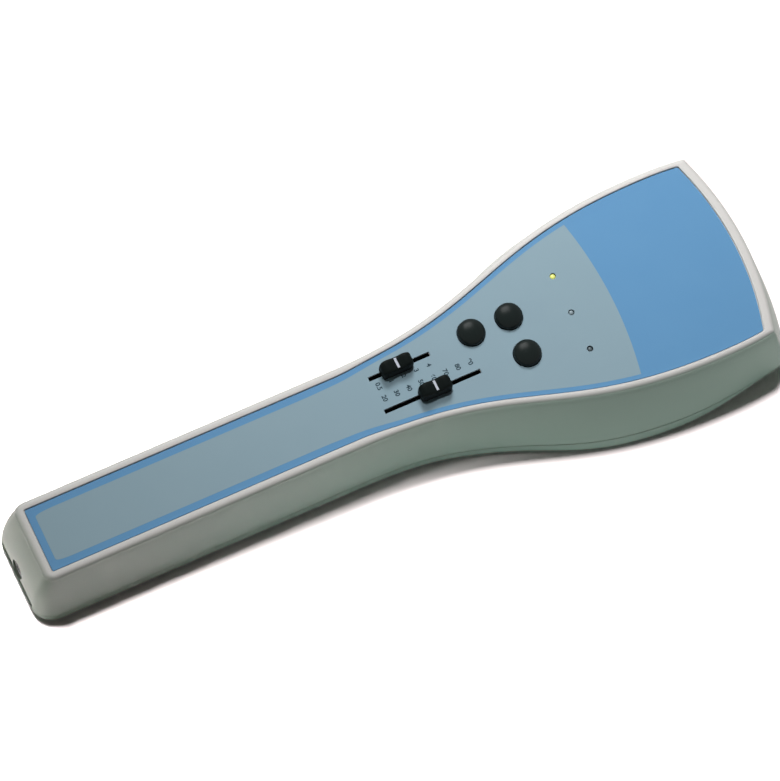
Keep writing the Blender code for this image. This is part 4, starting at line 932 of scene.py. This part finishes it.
field_start_x = panel_start_x + CLEARANCE + STRIPE_HANDLE
inside = [point.x < arc_x(point.y) for point in edge_points]
crossing = inside.index(True)
near, far = edge_points[crossing], edge_points[crossing - 1]
for step in range(HALVINGS):
    middle = (near + far) / 2
    near, far = (middle, far) if middle.x < arc_x(middle.y) else (near, middle)
field_half = [near] + [point for point, within in zip(edge_points, inside)
                       if within and point.x > field_start_x + FIELD_CORNER_ROUND]
field_half += bezier([(field_half[-1].x, field_half[-1].y), (field_start_x, field_half[-1].y),
                      (field_start_x, field_half[-1].y - FIELD_CORNER_ROUND)],
                     FIELD_CORNER_STEPS)[1:]
field_half += [Vector((field_start_x, field_half[-1].y - FIELD_CORNER_ROUND / 2)),
               Vector((field_start_x, 0))]
arc_half = [Vector((arc_x(y), y)) for y in
            (field_half[0].y * step / ARC_STEPS for step in range(ARC_STEPS))]
field_points = arc_half + field_half
field_points += [Vector((point.x, -point.y)) for point in reversed(field_points[1:-1])]
bm = bmesh.new()
loops = [[bm.verts.new((*point, height)) for point in field_points]
         for height in (film_top, label_top)]
for loop in loops:
    bm.faces.new(loop)
bridge(bm, loops)
label_field = mesh_object("label_field", bm, [film_grey])
cut_front(label_field, CLEARANCE / 2, low, high)
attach(label_field, "housing")
print("label film %d faces, field %d faces" % (len(label_film.data.polygons),
                                               len(label_field.data.polygons)))

# %% [markdown]
# ## The lower shell and the door
#
# The lower shell is a shallow tray with the grille, six screw wells and the lens. The door
# slides out along the handle. Both use the lower part of the same loft, so that they stay flush.

# %% Lower shell
GRILLE_HOLE_RADIUS = 0.0019
GRILLE_PITCH = 0.0066
GRILLE_RINGS = 3
LAMP_LENS_RADIUS = 0.0040
WELL_SIDES = 32
SMALL_BORE_SIDES = 16
GRILLE_HOLE_SIDES = 20
LENS_HOLE_SIDES = 48
SPEAKER_SCREW_RADIUS = 0.0009
DOOR_TAB_REACH = 0.0012
DOOR_TAB_LENGTH = 0.0080
DOOR_TRAVEL = 0.0080
DOOR_LIP_THICKNESS = 0.0030
DOOR_WEB = 0.0016
DOOR_RIB_SHARES = (0.2, 0.7, 1.2, 1.7)
speaker_spot = middle_of("speaker_frame")
lamp_spot = Vector((middle_of("lamp_lens").x, 0))
speaker_screw_spots = screw_spots("speaker_screw", 4)
CELL_LENGTH = 0.0505
cells_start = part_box("cell_1")[0].x
door_ribs = [cells_start + CELL_LENGTH * share for share in DOOR_RIB_SHARES]
door_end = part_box("battery_door")[1].x + CLEARANCE
door_top = WALL + CLEARANCE + DOOR_WEB


def lower_body_rings(chamfer):
    """The outside of the lower shell, closed just under the parting plane."""
    top = parting_depth + CLEARANCE
    return floor_rings(0.0, 0.0) + [ring(top + chamfer), ring(top, chamfer)]


lip_top, lip_inset = parting_depth - LIP_HEIGHT, WALL + CLEARANCE
rings = lower_body_rings(PARTING_CHAMFER)
rings += [ring(parting_depth + CLEARANCE, lip_inset), ring(lip_top, lip_inset),
          ring(lip_top, lip_inset + LIP_THICKNESS),
          ring(parting_depth + CLEARANCE, lip_inset + LIP_THICKNESS)]
rings += floor_rings(lip_inset + LIP_THICKNESS, WALL, INNER_FLOOR_ROUND)[::-1]
shell_lower = loft("shell_lower", rings, [abs_shell])

posts, seats, bores = bmesh.new(), bmesh.new(), bmesh.new()
for spot in housing_spots:
    add_post(posts, LOWER_POST_RADIUS, spot, WALL / 2, POST_TOP_HEIGHT, WELL_SIDES)
    add_post(seats, SCREW_HEAD_RADIUS + CLEARANCE, spot, -CUT_OVERRUN, SCREW_SEAT_HEIGHT,
             WELL_SIDES)
    add_post(bores, SCREW_RADIUS + CLEARANCE, spot, WALL, POST_TOP_HEIGHT + CUT_OVERRUN)
for spot in speaker_screw_spots:
    add_post(bores, SPEAKER_SCREW_RADIUS + CLEARANCE, spot, WALL / 3, WALL + CUT_OVERRUN,
             SMALL_BORE_SIDES)
grille, grille_spots = bmesh.new(), [Vector((0, 0))]
for number in range(1, GRILLE_RINGS + 1):
    grille_spots += [number * GRILLE_PITCH * towards(math.tau * i / (6 * number))
                     for i in range(6 * number)]
for spot in grille_spots:
    at = Vector((speaker_spot.x + spot.x, speaker_spot.y + spot.y))
    add_post(grille, GRILLE_HOLE_RADIUS, at, -CUT_OVERRUN, WALL + CUT_OVERRUN,
             GRILLE_HOLE_SIDES)
add_post(grille, LAMP_LENS_RADIUS + CLEARANCE, lamp_spot, -CUT_OVERRUN, WALL + CUT_OVERRUN,
         LENS_HOLE_SIDES)
opening_half = DOOR_HALF_WIDTH + CLEARANCE
door_hole, notches = bmesh.new(), bmesh.new()
add_block(door_hole, (outside_x, -opening_half, -CUT_OVERRUN),
          (door_end, opening_half, PARTING_HEIGHT + LIP_HEIGHT + CUT_OVERRUN))
for x in door_ribs:
    start = x - DOOR_TRAVEL - CLEARANCE
    add_block(notches, (start, -opening_half - DOOR_TAB_REACH, -CUT_OVERRUN),
              (start + DOOR_TAB_LENGTH + 2 * CLEARANCE, opening_half + DOOR_TAB_REACH,
               WALL + CUT_OVERRUN))
shape(shell_lower, ("join", posts), ("cut", seats), ("cut", bores), ("cut", grille),
      ("cut", door_hole), ("cut", notches))
shade(shell_lower)
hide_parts("lower_shell")
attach(shell_lower, "housing")
print("lower shell faces:", len(shell_lower.data.polygons))

# %% Battery door
GRIP_GROOVES = 7
GRIP_PITCH = 0.0024
GRIP_HALF_LENGTH = 0.0070
GRIP_RADIUS_SHARE = 0.30
GRIP_START = 0.0120
GRIP_SIDES = 16
door_cover = loft("door_cover", lower_body_rings(PARTING_CHAMFER), [abs_shell])
near_x = door_end - CLEARANCE
bounds_bm, hollow, trim, tabs, grip = (bmesh.new() for _ in range(5))
add_block(bounds_bm, (outside_x, -DOOR_HALF_WIDTH, -CUT_OVERRUN),
          (near_x, DOOR_HALF_WIDTH, PARTING_HEIGHT + CUT_OVERRUN))
wide = DOOR_HALF_WIDTH + CUT_OVERRUN
start = cad_box[0].x + DOOR_LIP_THICKNESS
for x in door_ribs:
    add_block(hollow, (start, -wide, WALL), (x, wide, PARTING_HEIGHT + CUT_OVERRUN))
    start = x + DOOR_TAB_LENGTH
add_block(hollow, (start, -wide, WALL), (near_x + CUT_OVERRUN, wide,
                                         PARTING_HEIGHT + CUT_OVERRUN))
add_block(trim, (panel_start_x, -wide, door_top),
          (near_x + CUT_OVERRUN, wide, PARTING_HEIGHT + 2 * CUT_OVERRUN))
for x in door_ribs:
    for side in (-1, 1):
        ends = sorted((side * (DOOR_HALF_WIDTH - DOOR_TAB_REACH),
                       side * (DOOR_HALF_WIDTH + DOOR_TAB_REACH)))
        add_block(tabs, (x + CLEARANCE, ends[0], WALL + CLEARANCE),
                  (x + DOOR_TAB_LENGTH - CLEARANCE, ends[1], door_top - CLEARANCE))
for number in range(GRIP_GROOVES):
    x = panel_start_x + GRIP_START + number * GRIP_PITCH
    add_rod(grip, GRIP_PITCH * GRIP_RADIUS_SHARE, (x, -GRIP_HALF_LENGTH, 0),
            (x, GRIP_HALF_LENGTH, 0), GRIP_SIDES)
shape(door_cover, ("keep", bounds_bm), ("cut", hollow), ("cut", trim), ("join", tabs),
      ("cut", grip))
shade(door_cover)
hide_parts("battery_door")
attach(door_cover, "door")
print("door faces:", len(door_cover.data.polygons))

# %% [markdown]
# ## Keys
#
# Each key is a domed cap of black silicone rubber. Its shape is turned: a profile is spun round
# the key's axis.

# %% Keys
def dome(radius, height, base, steps):
    """A dome's profile, from its top down to its edge."""
    angles = [math.pi / 2 * step / steps for step in range(1, steps + 1)]
    return [(0, base + height)] + [
        (radius * math.sin(angle), base + height * math.cos(angle)) for angle in angles]


def spin(name, profile, where, sides, materials):
    """A closed turned piece from (radius, height) points that run from the top downwards."""
    bm = bmesh.new()
    rows = []
    for radius, height in profile:
        if radius == 0:
            rows.append([bm.verts.new((where[0], where[1], height))] * sides)
            continue
        rows.append([bm.verts.new((where[0] + radius * math.cos(math.tau * i / sides),
                                   where[1] + radius * math.sin(math.tau * i / sides), height))
                     for i in range(sides)])
    closed = rows + ([rows[0]] if profile[0][0] > 0 else [])
    for first, second in zip(closed, closed[1:]):
        for i in range(sides):
            corners = [first[i - 1], first[i], second[i], second[i - 1]]
            unique = [v for j, v in enumerate(corners) if v not in corners[:j]]
            if len(unique) > 2:
                bm.faces.new(unique)
    item = mesh_object(name, bm, materials)
    shade(item)
    return item


KEY_DOME_HEIGHT = 0.0029
KEY_EDGE_HEIGHT = 0.0006
KEY_STEPS = 16
KEY_SIDES = 64
KEY_FLANGE = 0.0012
KEY_FLANGE_THICKNESS = 0.0010
KEY_STEM_RADIUS = 0.0016
flange_top = panel_underside - CLEARANCE
flange_base = flange_top - KEY_FLANGE_THICKNESS
key_edge = TOTAL_HEIGHT + KEY_EDGE_HEIGHT
for name, spot in KEYS.items():
    stem_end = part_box("key_" + name)[0].z
    profile = dome(KEY_RADIUS, KEY_DOME_HEIGHT, key_edge, KEY_STEPS)
    profile += [(KEY_RADIUS, flange_top), (KEY_RADIUS + KEY_FLANGE, flange_top),
                (KEY_RADIUS + KEY_FLANGE, flange_base), (KEY_STEM_RADIUS, flange_base),
                (KEY_STEM_RADIUS, stem_end), (0, stem_end)]
    cap = spin("cap_" + name, profile, spot, KEY_SIDES, [plastic["silicone_rubber_black"]])
    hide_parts("key_" + name)
    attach(cap, name + "_key")
print("keys at", [tuple(round(value * 1000, 1) for value in spot[:2]) for spot in KEYS.values()])

# %% [markdown]
# ## Slide knobs
#
# A slide knob is a small black saddle: its two ends rise, so that a finger finds the middle, and
# a white index line crosses the middle. Its side view is drawn as a curve and repeated across
# the width, in sections that shrink a little towards both flanks, so that the edges are round.

# %% Slide knobs
KNOB_HALF_LENGTH = 0.0069
KNOB_WIDTH = 0.0060
KNOB_HEIGHT = 0.0063
KNOB_ROUND = 0.0015
SADDLE_SHARE = 0.86
KNOB_CREST_SHARE = 0.62
INDEX_WIDTH = 0.0010
INDEX_RAISE = 0.00006
INDEX_DEPTH = 0.0004
INDEX_SIDE_GAP = 0.0008
POCKET_OVERRUN = 0.001
LOBE_STEPS = 8


def knob_profile(half_length, height):
    """The side view of a saddle knob, from one foot over the saddle to the other foot."""
    crest = half_length * KNOB_CREST_SHARE
    side = [Vector((half_length, 0))]
    side += bezier([(half_length, height * 0.30), (half_length, height * 0.72),
                    (half_length * 0.96, height), (crest, height)], LOBE_STEPS)
    side += bezier([(crest, height), (half_length * 0.38, height),
                    (half_length * 0.30, height * SADDLE_SHARE), (0, height * SADDLE_SHARE)],
                   LOBE_STEPS)
    return (side + [Vector((0, height * SADDLE_SHARE))]
            + [Vector((-point.x, point.y)) for point in reversed(side)])


for name in ("short", "long"):
    low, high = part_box("knob_" + name)
    centre_x, centre_y, base = (low.x + high.x) / 2, (low.y + high.y) / 2, low.z
    half_width = KNOB_WIDTH / 2
    bm = bmesh.new()
    sections = []
    for step in range(-LOBE_STEPS, LOBE_STEPS + 1):
        angle = math.pi / 2 * abs(step) / LOBE_STEPS
        inset = KNOB_ROUND * (1 - math.cos(angle))
        y = math.copysign(half_width - KNOB_ROUND * (1 - math.sin(angle)), step)
        sections.append([bm.verts.new((centre_x + point.x, centre_y + y, base + point.y))
                         for point in knob_profile(KNOB_HALF_LENGTH - inset,
                                                   KNOB_HEIGHT - inset)])
    for cap in (sections[0], sections[-1]):
        bm.faces.new(cap)
    bridge(bm, sections)
    knob = mesh_object("knob_cap_" + name, bm, [plastic["moulded_abs_black"]])
    pocket = bmesh.new()
    lever_low, lever_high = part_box("lever_" + name)
    add_block(pocket, (lever_low.x - CLEARANCE, lever_low.y - CLEARANCE, base - POCKET_OVERRUN),
              (lever_high.x + CLEARANCE, lever_high.y + CLEARANCE, lever_high.z + CLEARANCE))
    shape(knob, ("cut", pocket))
    shade(knob)
    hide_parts("knob_" + name)
    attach(knob, name + "_slider")
    bm = bmesh.new()
    top = base + KNOB_HEIGHT * SADDLE_SHARE + INDEX_RAISE
    reach = half_width - INDEX_SIDE_GAP
    add_block(bm, (centre_x - INDEX_WIDTH / 2, centre_y - reach, top - INDEX_DEPTH),
              (centre_x + INDEX_WIDTH / 2, centre_y + reach, top))
    index = mesh_object("index_line_" + name, bm, [plastic["index_paint_white"]])
    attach(index, name + "_slider")
    print("knob", name, "at", round(centre_x * 1000, 1), "mm")

# %% [markdown]
# ## Indicator lamps
#
# Each indicator is a small epoxy lamp, 2.4 mm across, whose round tip fills a hole in the label.
# The far one is lit and glows yellow green. Of the two others the middle one is clear, so that
# the pale cup inside it shows, and the near one is smoked and looks darker.

# %% Indicator lamps
LED_FLANGE_RADIUS = 0.0016
LED_BULB_LENGTH = 0.0045
LED_STEPS = 10
LED_SIDES = 32
LED_MURK = 0.0006
LED_LOOKS = {
    # lamp: (material, colour, second colour, glow)
    "far": ("epoxy_lamp_lit", "#E6E08A", "#D6DC6A", 0.5),
    "middle": ("epoxy_lamp_clear", "#8FA0A6", "#82949A", 0.0),
    "near": ("epoxy_lamp_smoked", "#56666C", "#4A5A60", 0.0),
}
led_materials = {}
for lamp, (name, colour, second, glow) in LED_LOOKS.items():
    led_materials[lamp], tree = new_material(name)
    murk = add_noise(tree, LED_MURK, 1.0)
    add_surface(tree, {
        "Base Color": add_mix(tree, murk, linear(colour), linear(second)),
        "Roughness": 0.18, "IOR": 1.55, "Coat Weight": 0.5, "Coat Roughness": 0.05,
        "Emission Color": linear(second), "Emission Strength": glow})
for name, spot in LEDS.items():
    low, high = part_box("led_" + name)
    profile = dome(LED_RADIUS, LED_RADIUS, high.z - LED_RADIUS, LED_STEPS)
    profile += [(LED_RADIUS, high.z - LED_BULB_LENGTH),
                (LED_FLANGE_RADIUS, high.z - LED_BULB_LENGTH), (LED_FLANGE_RADIUS, low.z),
                (0, low.z)]
    lens = spin("lens_" + name, profile, spot, LED_SIDES, [led_materials[name]])
    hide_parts("led_" + name)
    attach(lens, "housing")
print("lamps:", {lamp: material.name for lamp, material in led_materials.items()})

# %% [markdown]
# ## Scale numbers
#
# The two slides have printed scales between them. Only plain numbers are printed here. Each
# number is a text curve that is turned into a flat mesh, then laid on the label.

# %% Scale numbers
SCALES = {
    # slide: (numbers, how far they stand from the slot)
    "short": (("0.5", "1", "2", "3", "4"), -0.0043),
    "long": (("20", "30", "40", "50", "60", "70", "80", "90"), 0.0053),
}
NUMBER_HEIGHT = 0.00275
NUMBER_WEIGHT = 0.00008
NUMBER_THICKNESS = 0.00002
LEVER_STOP = 0.0023
WELD_DISTANCE = 0.000001
for name, (values, offset) in SCALES.items():
    start, end, slot_y = SLOTS[name]
    bm = bmesh.new()
    for number, value in enumerate(values):
        text = bpy.data.curves.new("number", "FONT")
        text.body = value
        text.size = NUMBER_HEIGHT
        text.align_x = "CENTER"
        text.align_y = "CENTER"
        text.extrude = NUMBER_THICKNESS / 2
        text.offset = NUMBER_WEIGHT
        item = new_object("number", text)
        bpy.context.view_layer.update()
        flat = plain_mesh(item)
        share = number / (len(values) - 1)
        x = start + LEVER_STOP + (end - start - 2 * LEVER_STOP) * share
        flat.transform(Matrix.Translation((x, slot_y + offset, label_top + NUMBER_THICKNESS / 2))
                       @ Matrix.Rotation(-math.pi / 2, 4, "Z"))
        bm.from_mesh(flat)
        bpy.data.objects.remove(item)
        bpy.data.meshes.remove(flat)
    bmesh.ops.remove_doubles(bm, verts=bm.verts, dist=WELD_DISTANCE)
    numbers = mesh_object("scale_numbers_" + name, bm, [plastic["scale_ink_dark"]])
    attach(numbers, "housing")
    print("scale", name, values)

# %% [markdown]
# ## Finishes for the parts that stay as the CAD made them
#
# Parts inside the case and small parts whose shape is already right keep their CAD mesh and get
# the finish of their real material.

# %% Finishes of the inner parts
TRACK_LENGTH = 0.0040
SLEEVE_CLOUD = 0.010
LENS_HAZE = 0.0015
fibreglass, tree = new_material("solder_masked_fibreglass")
tracks = add_node(tree, "ShaderNodeTexBrick", {
    "Vector": object_coords(tree), "Scale": 1 / TRACK_LENGTH, "Mortar Size": 0.06,
    "Color1": linear("#0F5A32"), "Color2": linear("#126038"), "Mortar": linear("#1C7A48")})
add_surface(tree, {"Base Color": tracks.outputs["Color"], "Roughness": 0.32, "IOR": 1.5})

cell_sleeve, tree = new_material("printed_cell_sleeve")
bands = add_noise(tree, SLEEVE_CLOUD, 1.0)
add_surface(tree, {"Base Color": add_mix(tree, bands, linear("#B08D3C"), linear("#BC9A4A")),
                   "Roughness": 0.3, "Metallic": 0.55})

clear_lens, tree = new_material("clear_acrylic")
gloss = add_node(tree, "ShaderNodeMapRange", {
    "Value": add_noise(tree, LENS_HAZE, 1.0), "To Min": 0.05, "To Max": 0.14})
add_surface(tree, {"Base Color": linear("#F2F4F2"), "Roughness": gloss.outputs[0], "IOR": 1.49,
                   "Transmission Weight": 0.85})

FINISHES = (
    (fibreglass, "main_board"),
    (cell_sleeve, "cell_1 cell_2"),
    (clear_lens, "lamp_lens"),
    (led_materials["middle"], "lamp_bulb"),
    (plastic["abs_dark_grey"], "battery_tray"),
    (plastic["pbt_black"], "socket"),
    (plastic["filled_nylon_black"],
     "pot_short pot_long switch_select switch_light switch_stimulus"),
    (plastic["pressed_paper_cone"], "speaker_cone"),
    (plastic["woven_dust_cloth"], "grille_cloth"),
    (plastic["closed_cell_foam"], "speaker_gasket"),
    (plastic["pvc_lead_red"], "lead_plus lead_speaker_plus"),
    (plastic["pvc_lead_black"], "lead_minus lead_speaker_minus lead_socket"),
    (metal["stamped_basket_steel"], "speaker_frame"),
    (metal["ferrite_and_steel"], "speaker_magnet"),
    (metal["nickel_plated_brass"], "contact_plus contact_minus contact_spring"),
    (metal["zinc_plated_steel"], "lever_short lever_long"),
)
finished = 0
for material, names in FINISHES:
    for name in names.split():
        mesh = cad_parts[name].data
        mesh.materials.clear()
        mesh.materials.append(material)
        finished += 1
print("finished", finished, "CAD parts")

# %% [markdown]
# ## Screws by Geometry Nodes
#
# Fourteen zinc plated cross-head screws in three sizes hold the housing, the board and the
# loudspeaker. One node tree draws them: a head that narrows towards its face, with a cross cut
# into it, a plain core and a round-crested thread that climbs it. Every vertex of a small mesh
# gets one screw, turned by a seeded random angle, as a screwdriver leaves them.

# %% Screws
SCREW_PITCH = 0.0009
FACE_SHARE = 0.86
CROSS_LENGTH_SHARE = 1.15
CROSS_WIDTH_SHARE = 0.24
CORE_SHARE = 0.80
CREST_SHARE = 0.19
THREAD_SHARE = 0.92
ROLL_SEED = 7
SCREW_SIZES = {
    # name: (head radius, head height, shank radius, how many)
    "housing_screw": (SCREW_HEAD_RADIUS, 0.0020, SCREW_RADIUS, 6),
    "board_screw": (0.0019, 0.0012, BOARD_SCREW_RADIUS, 4),
    "speaker_screw": (0.0016, 0.0016, SPEAKER_SCREW_RADIUS, 4),
}
screw_tree = bpy.data.node_groups.new("cross_head_screws", "GeometryNodeTree")
screw_ids = {}
for label, kind in (("Points", "Geometry"), ("Head Radius", "Float"), ("Head Height", "Float"),
                    ("Shank Radius", "Float"), ("Shank Length", "Float"), ("Turn", "Float"),
                    ("Material", "Material")):
    made = screw_tree.interface.new_socket(label, in_out="INPUT",
                                           socket_type="NodeSocket" + kind)
    screw_ids[label] = made.identifier
screw_tree.interface.new_socket("Screws", in_out="OUTPUT", socket_type="NodeSocketGeometry")
given = add_node(screw_tree, "NodeGroupInput").outputs


def computed(operation, first, second):
    """A number worked out inside the screws' tree."""
    return add_node(screw_tree, "ShaderNodeMath", {0: first, 1: second},
                    operation=operation).outputs[0]


def share_of(size, share):
    """A share of one of the sizes that the tree is given."""
    return computed("MULTIPLY", given[size], share)


def moved(geometry, height, turn=0.0):
    """Geometry of the screws' tree, lifted and turned about Z."""
    lift = add_node(screw_tree, "ShaderNodeCombineXYZ", {"Z": height})
    return add_node(screw_tree, "GeometryNodeTransform", {
        "Geometry": geometry, "Translation": lift.outputs[0],
        "Rotation": (0.0, 0.0, turn)}).outputs[0]


head = add_node(screw_tree, "GeometryNodeMeshCone", {
    "Vertices": 32, "Radius Top": given["Head Radius"], "Depth": given["Head Height"],
    "Radius Bottom": share_of("Head Radius", FACE_SHARE)})
slab_size = add_node(screw_tree, "ShaderNodeCombineXYZ", {
    "X": share_of("Head Radius", CROSS_LENGTH_SHARE),
    "Y": share_of("Head Radius", CROSS_WIDTH_SHARE), "Z": given["Head Height"]})
slab = add_node(screw_tree, "GeometryNodeMeshCube", {"Size": slab_size.outputs[0]})
head_end = share_of("Head Height", -1.0)
cross = add_node(screw_tree, "GeometryNodeMeshBoolean", operation="DIFFERENCE")
screw_tree.links.new(moved(head.outputs["Mesh"], head_end), cross.inputs["Mesh 1"])
for turn in (0.0, math.pi / 2):
    screw_tree.links.new(moved(slab.outputs["Mesh"], head_end, turn), cross.inputs["Mesh 2"])
core_radius = share_of("Shank Radius", CORE_SHARE)
core = add_node(screw_tree, "GeometryNodeMeshCylinder", {
    "Vertices": 20, "Radius": core_radius, "Depth": given["Shank Length"]})
thread = add_node(screw_tree, "GeometryNodeCurveSpiral", {
    "Resolution": 16, "Start Radius": core_radius, "End Radius": core_radius,
    "Rotations": computed("DIVIDE", given["Shank Length"], SCREW_PITCH),
    "Height": share_of("Shank Length", THREAD_SHARE)})
crest = add_node(screw_tree, "GeometryNodeCurvePrimitiveCircle", {
    "Resolution": 6, "Radius": share_of("Shank Radius", CREST_SHARE)})
ridge = add_node(screw_tree, "GeometryNodeCurveToMesh", {
    "Curve": thread.outputs[0], "Profile Curve": crest.outputs[0], "Fill Caps": True})
screw = add_node(screw_tree, "GeometryNodeJoinGeometry")
raised_core = moved(core.outputs["Mesh"], share_of("Shank Length", 0.5))
for part in (cross.outputs[0], raised_core, ridge.outputs[0]):
    screw_tree.links.new(part, screw.inputs[0])
roll = add_node(screw_tree, "FunctionNodeRandomValue", {"Seed": ROLL_SEED})
aim = add_node(screw_tree, "ShaderNodeCombineXYZ", {
    "X": given["Turn"], "Z": computed("MULTIPLY", roll.outputs[1], math.tau)})
placed = add_node(screw_tree, "GeometryNodeInstanceOnPoints", {
    "Points": given["Points"], "Instance": screw.outputs[0], "Rotation": aim.outputs[0]})
real = add_node(screw_tree, "GeometryNodeRealizeInstances", {0: placed.outputs[0]})
plated = add_node(screw_tree, "GeometryNodeSetMaterial", {
    "Geometry": real.outputs[0], "Material": given["Material"]})
add_node(screw_tree, "NodeGroupOutput", {0: plated.outputs[0]})
print("the screws' tree has", len(screw_tree.nodes), "nodes")

# %% Screws in their places
for label, (head_radius, head_height, shank_radius, count) in SCREW_SIZES.items():
    boxes = [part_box("%s_%d" % (label, number)) for number in range(1, count + 1)]
    head_up = label == "speaker_screw"
    low, high = boxes[0]
    seat = high.z - head_height if head_up else low.z + head_height
    spots = [((box[0].x + box[1].x) / 2, (box[0].y + box[1].y) / 2, seat) for box in boxes]
    seeds = bpy.data.meshes.new(label + "_places")
    seeds.from_pydata(spots, [], [])
    screws = new_object(label + "s", seeds)
    modifier = screws.modifiers.new("screws", "NODES")
    modifier.node_group = screw_tree
    sizes = {"Head Radius": head_radius, "Head Height": head_height,
             "Shank Radius": shank_radius, "Shank Length": high.z - low.z - head_height,
             "Turn": math.pi if head_up else 0.0, "Material": metal["zinc_plated_steel"]}
    for size, value in sizes.items():
        modifier[screw_ids[size]] = value
    mesh = bake_modifiers(screws).data
    mesh.materials.clear()
    mesh.polygons.foreach_set("material_index", [0] * len(mesh.polygons))
    mesh.materials.append(metal["zinc_plated_steel"])
    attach(screws, "housing")
    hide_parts(*["%s_%d" % (label, number) for number in range(1, count + 1)])
    print(label, len(mesh.polygons), "faces at", len(spots), "places")
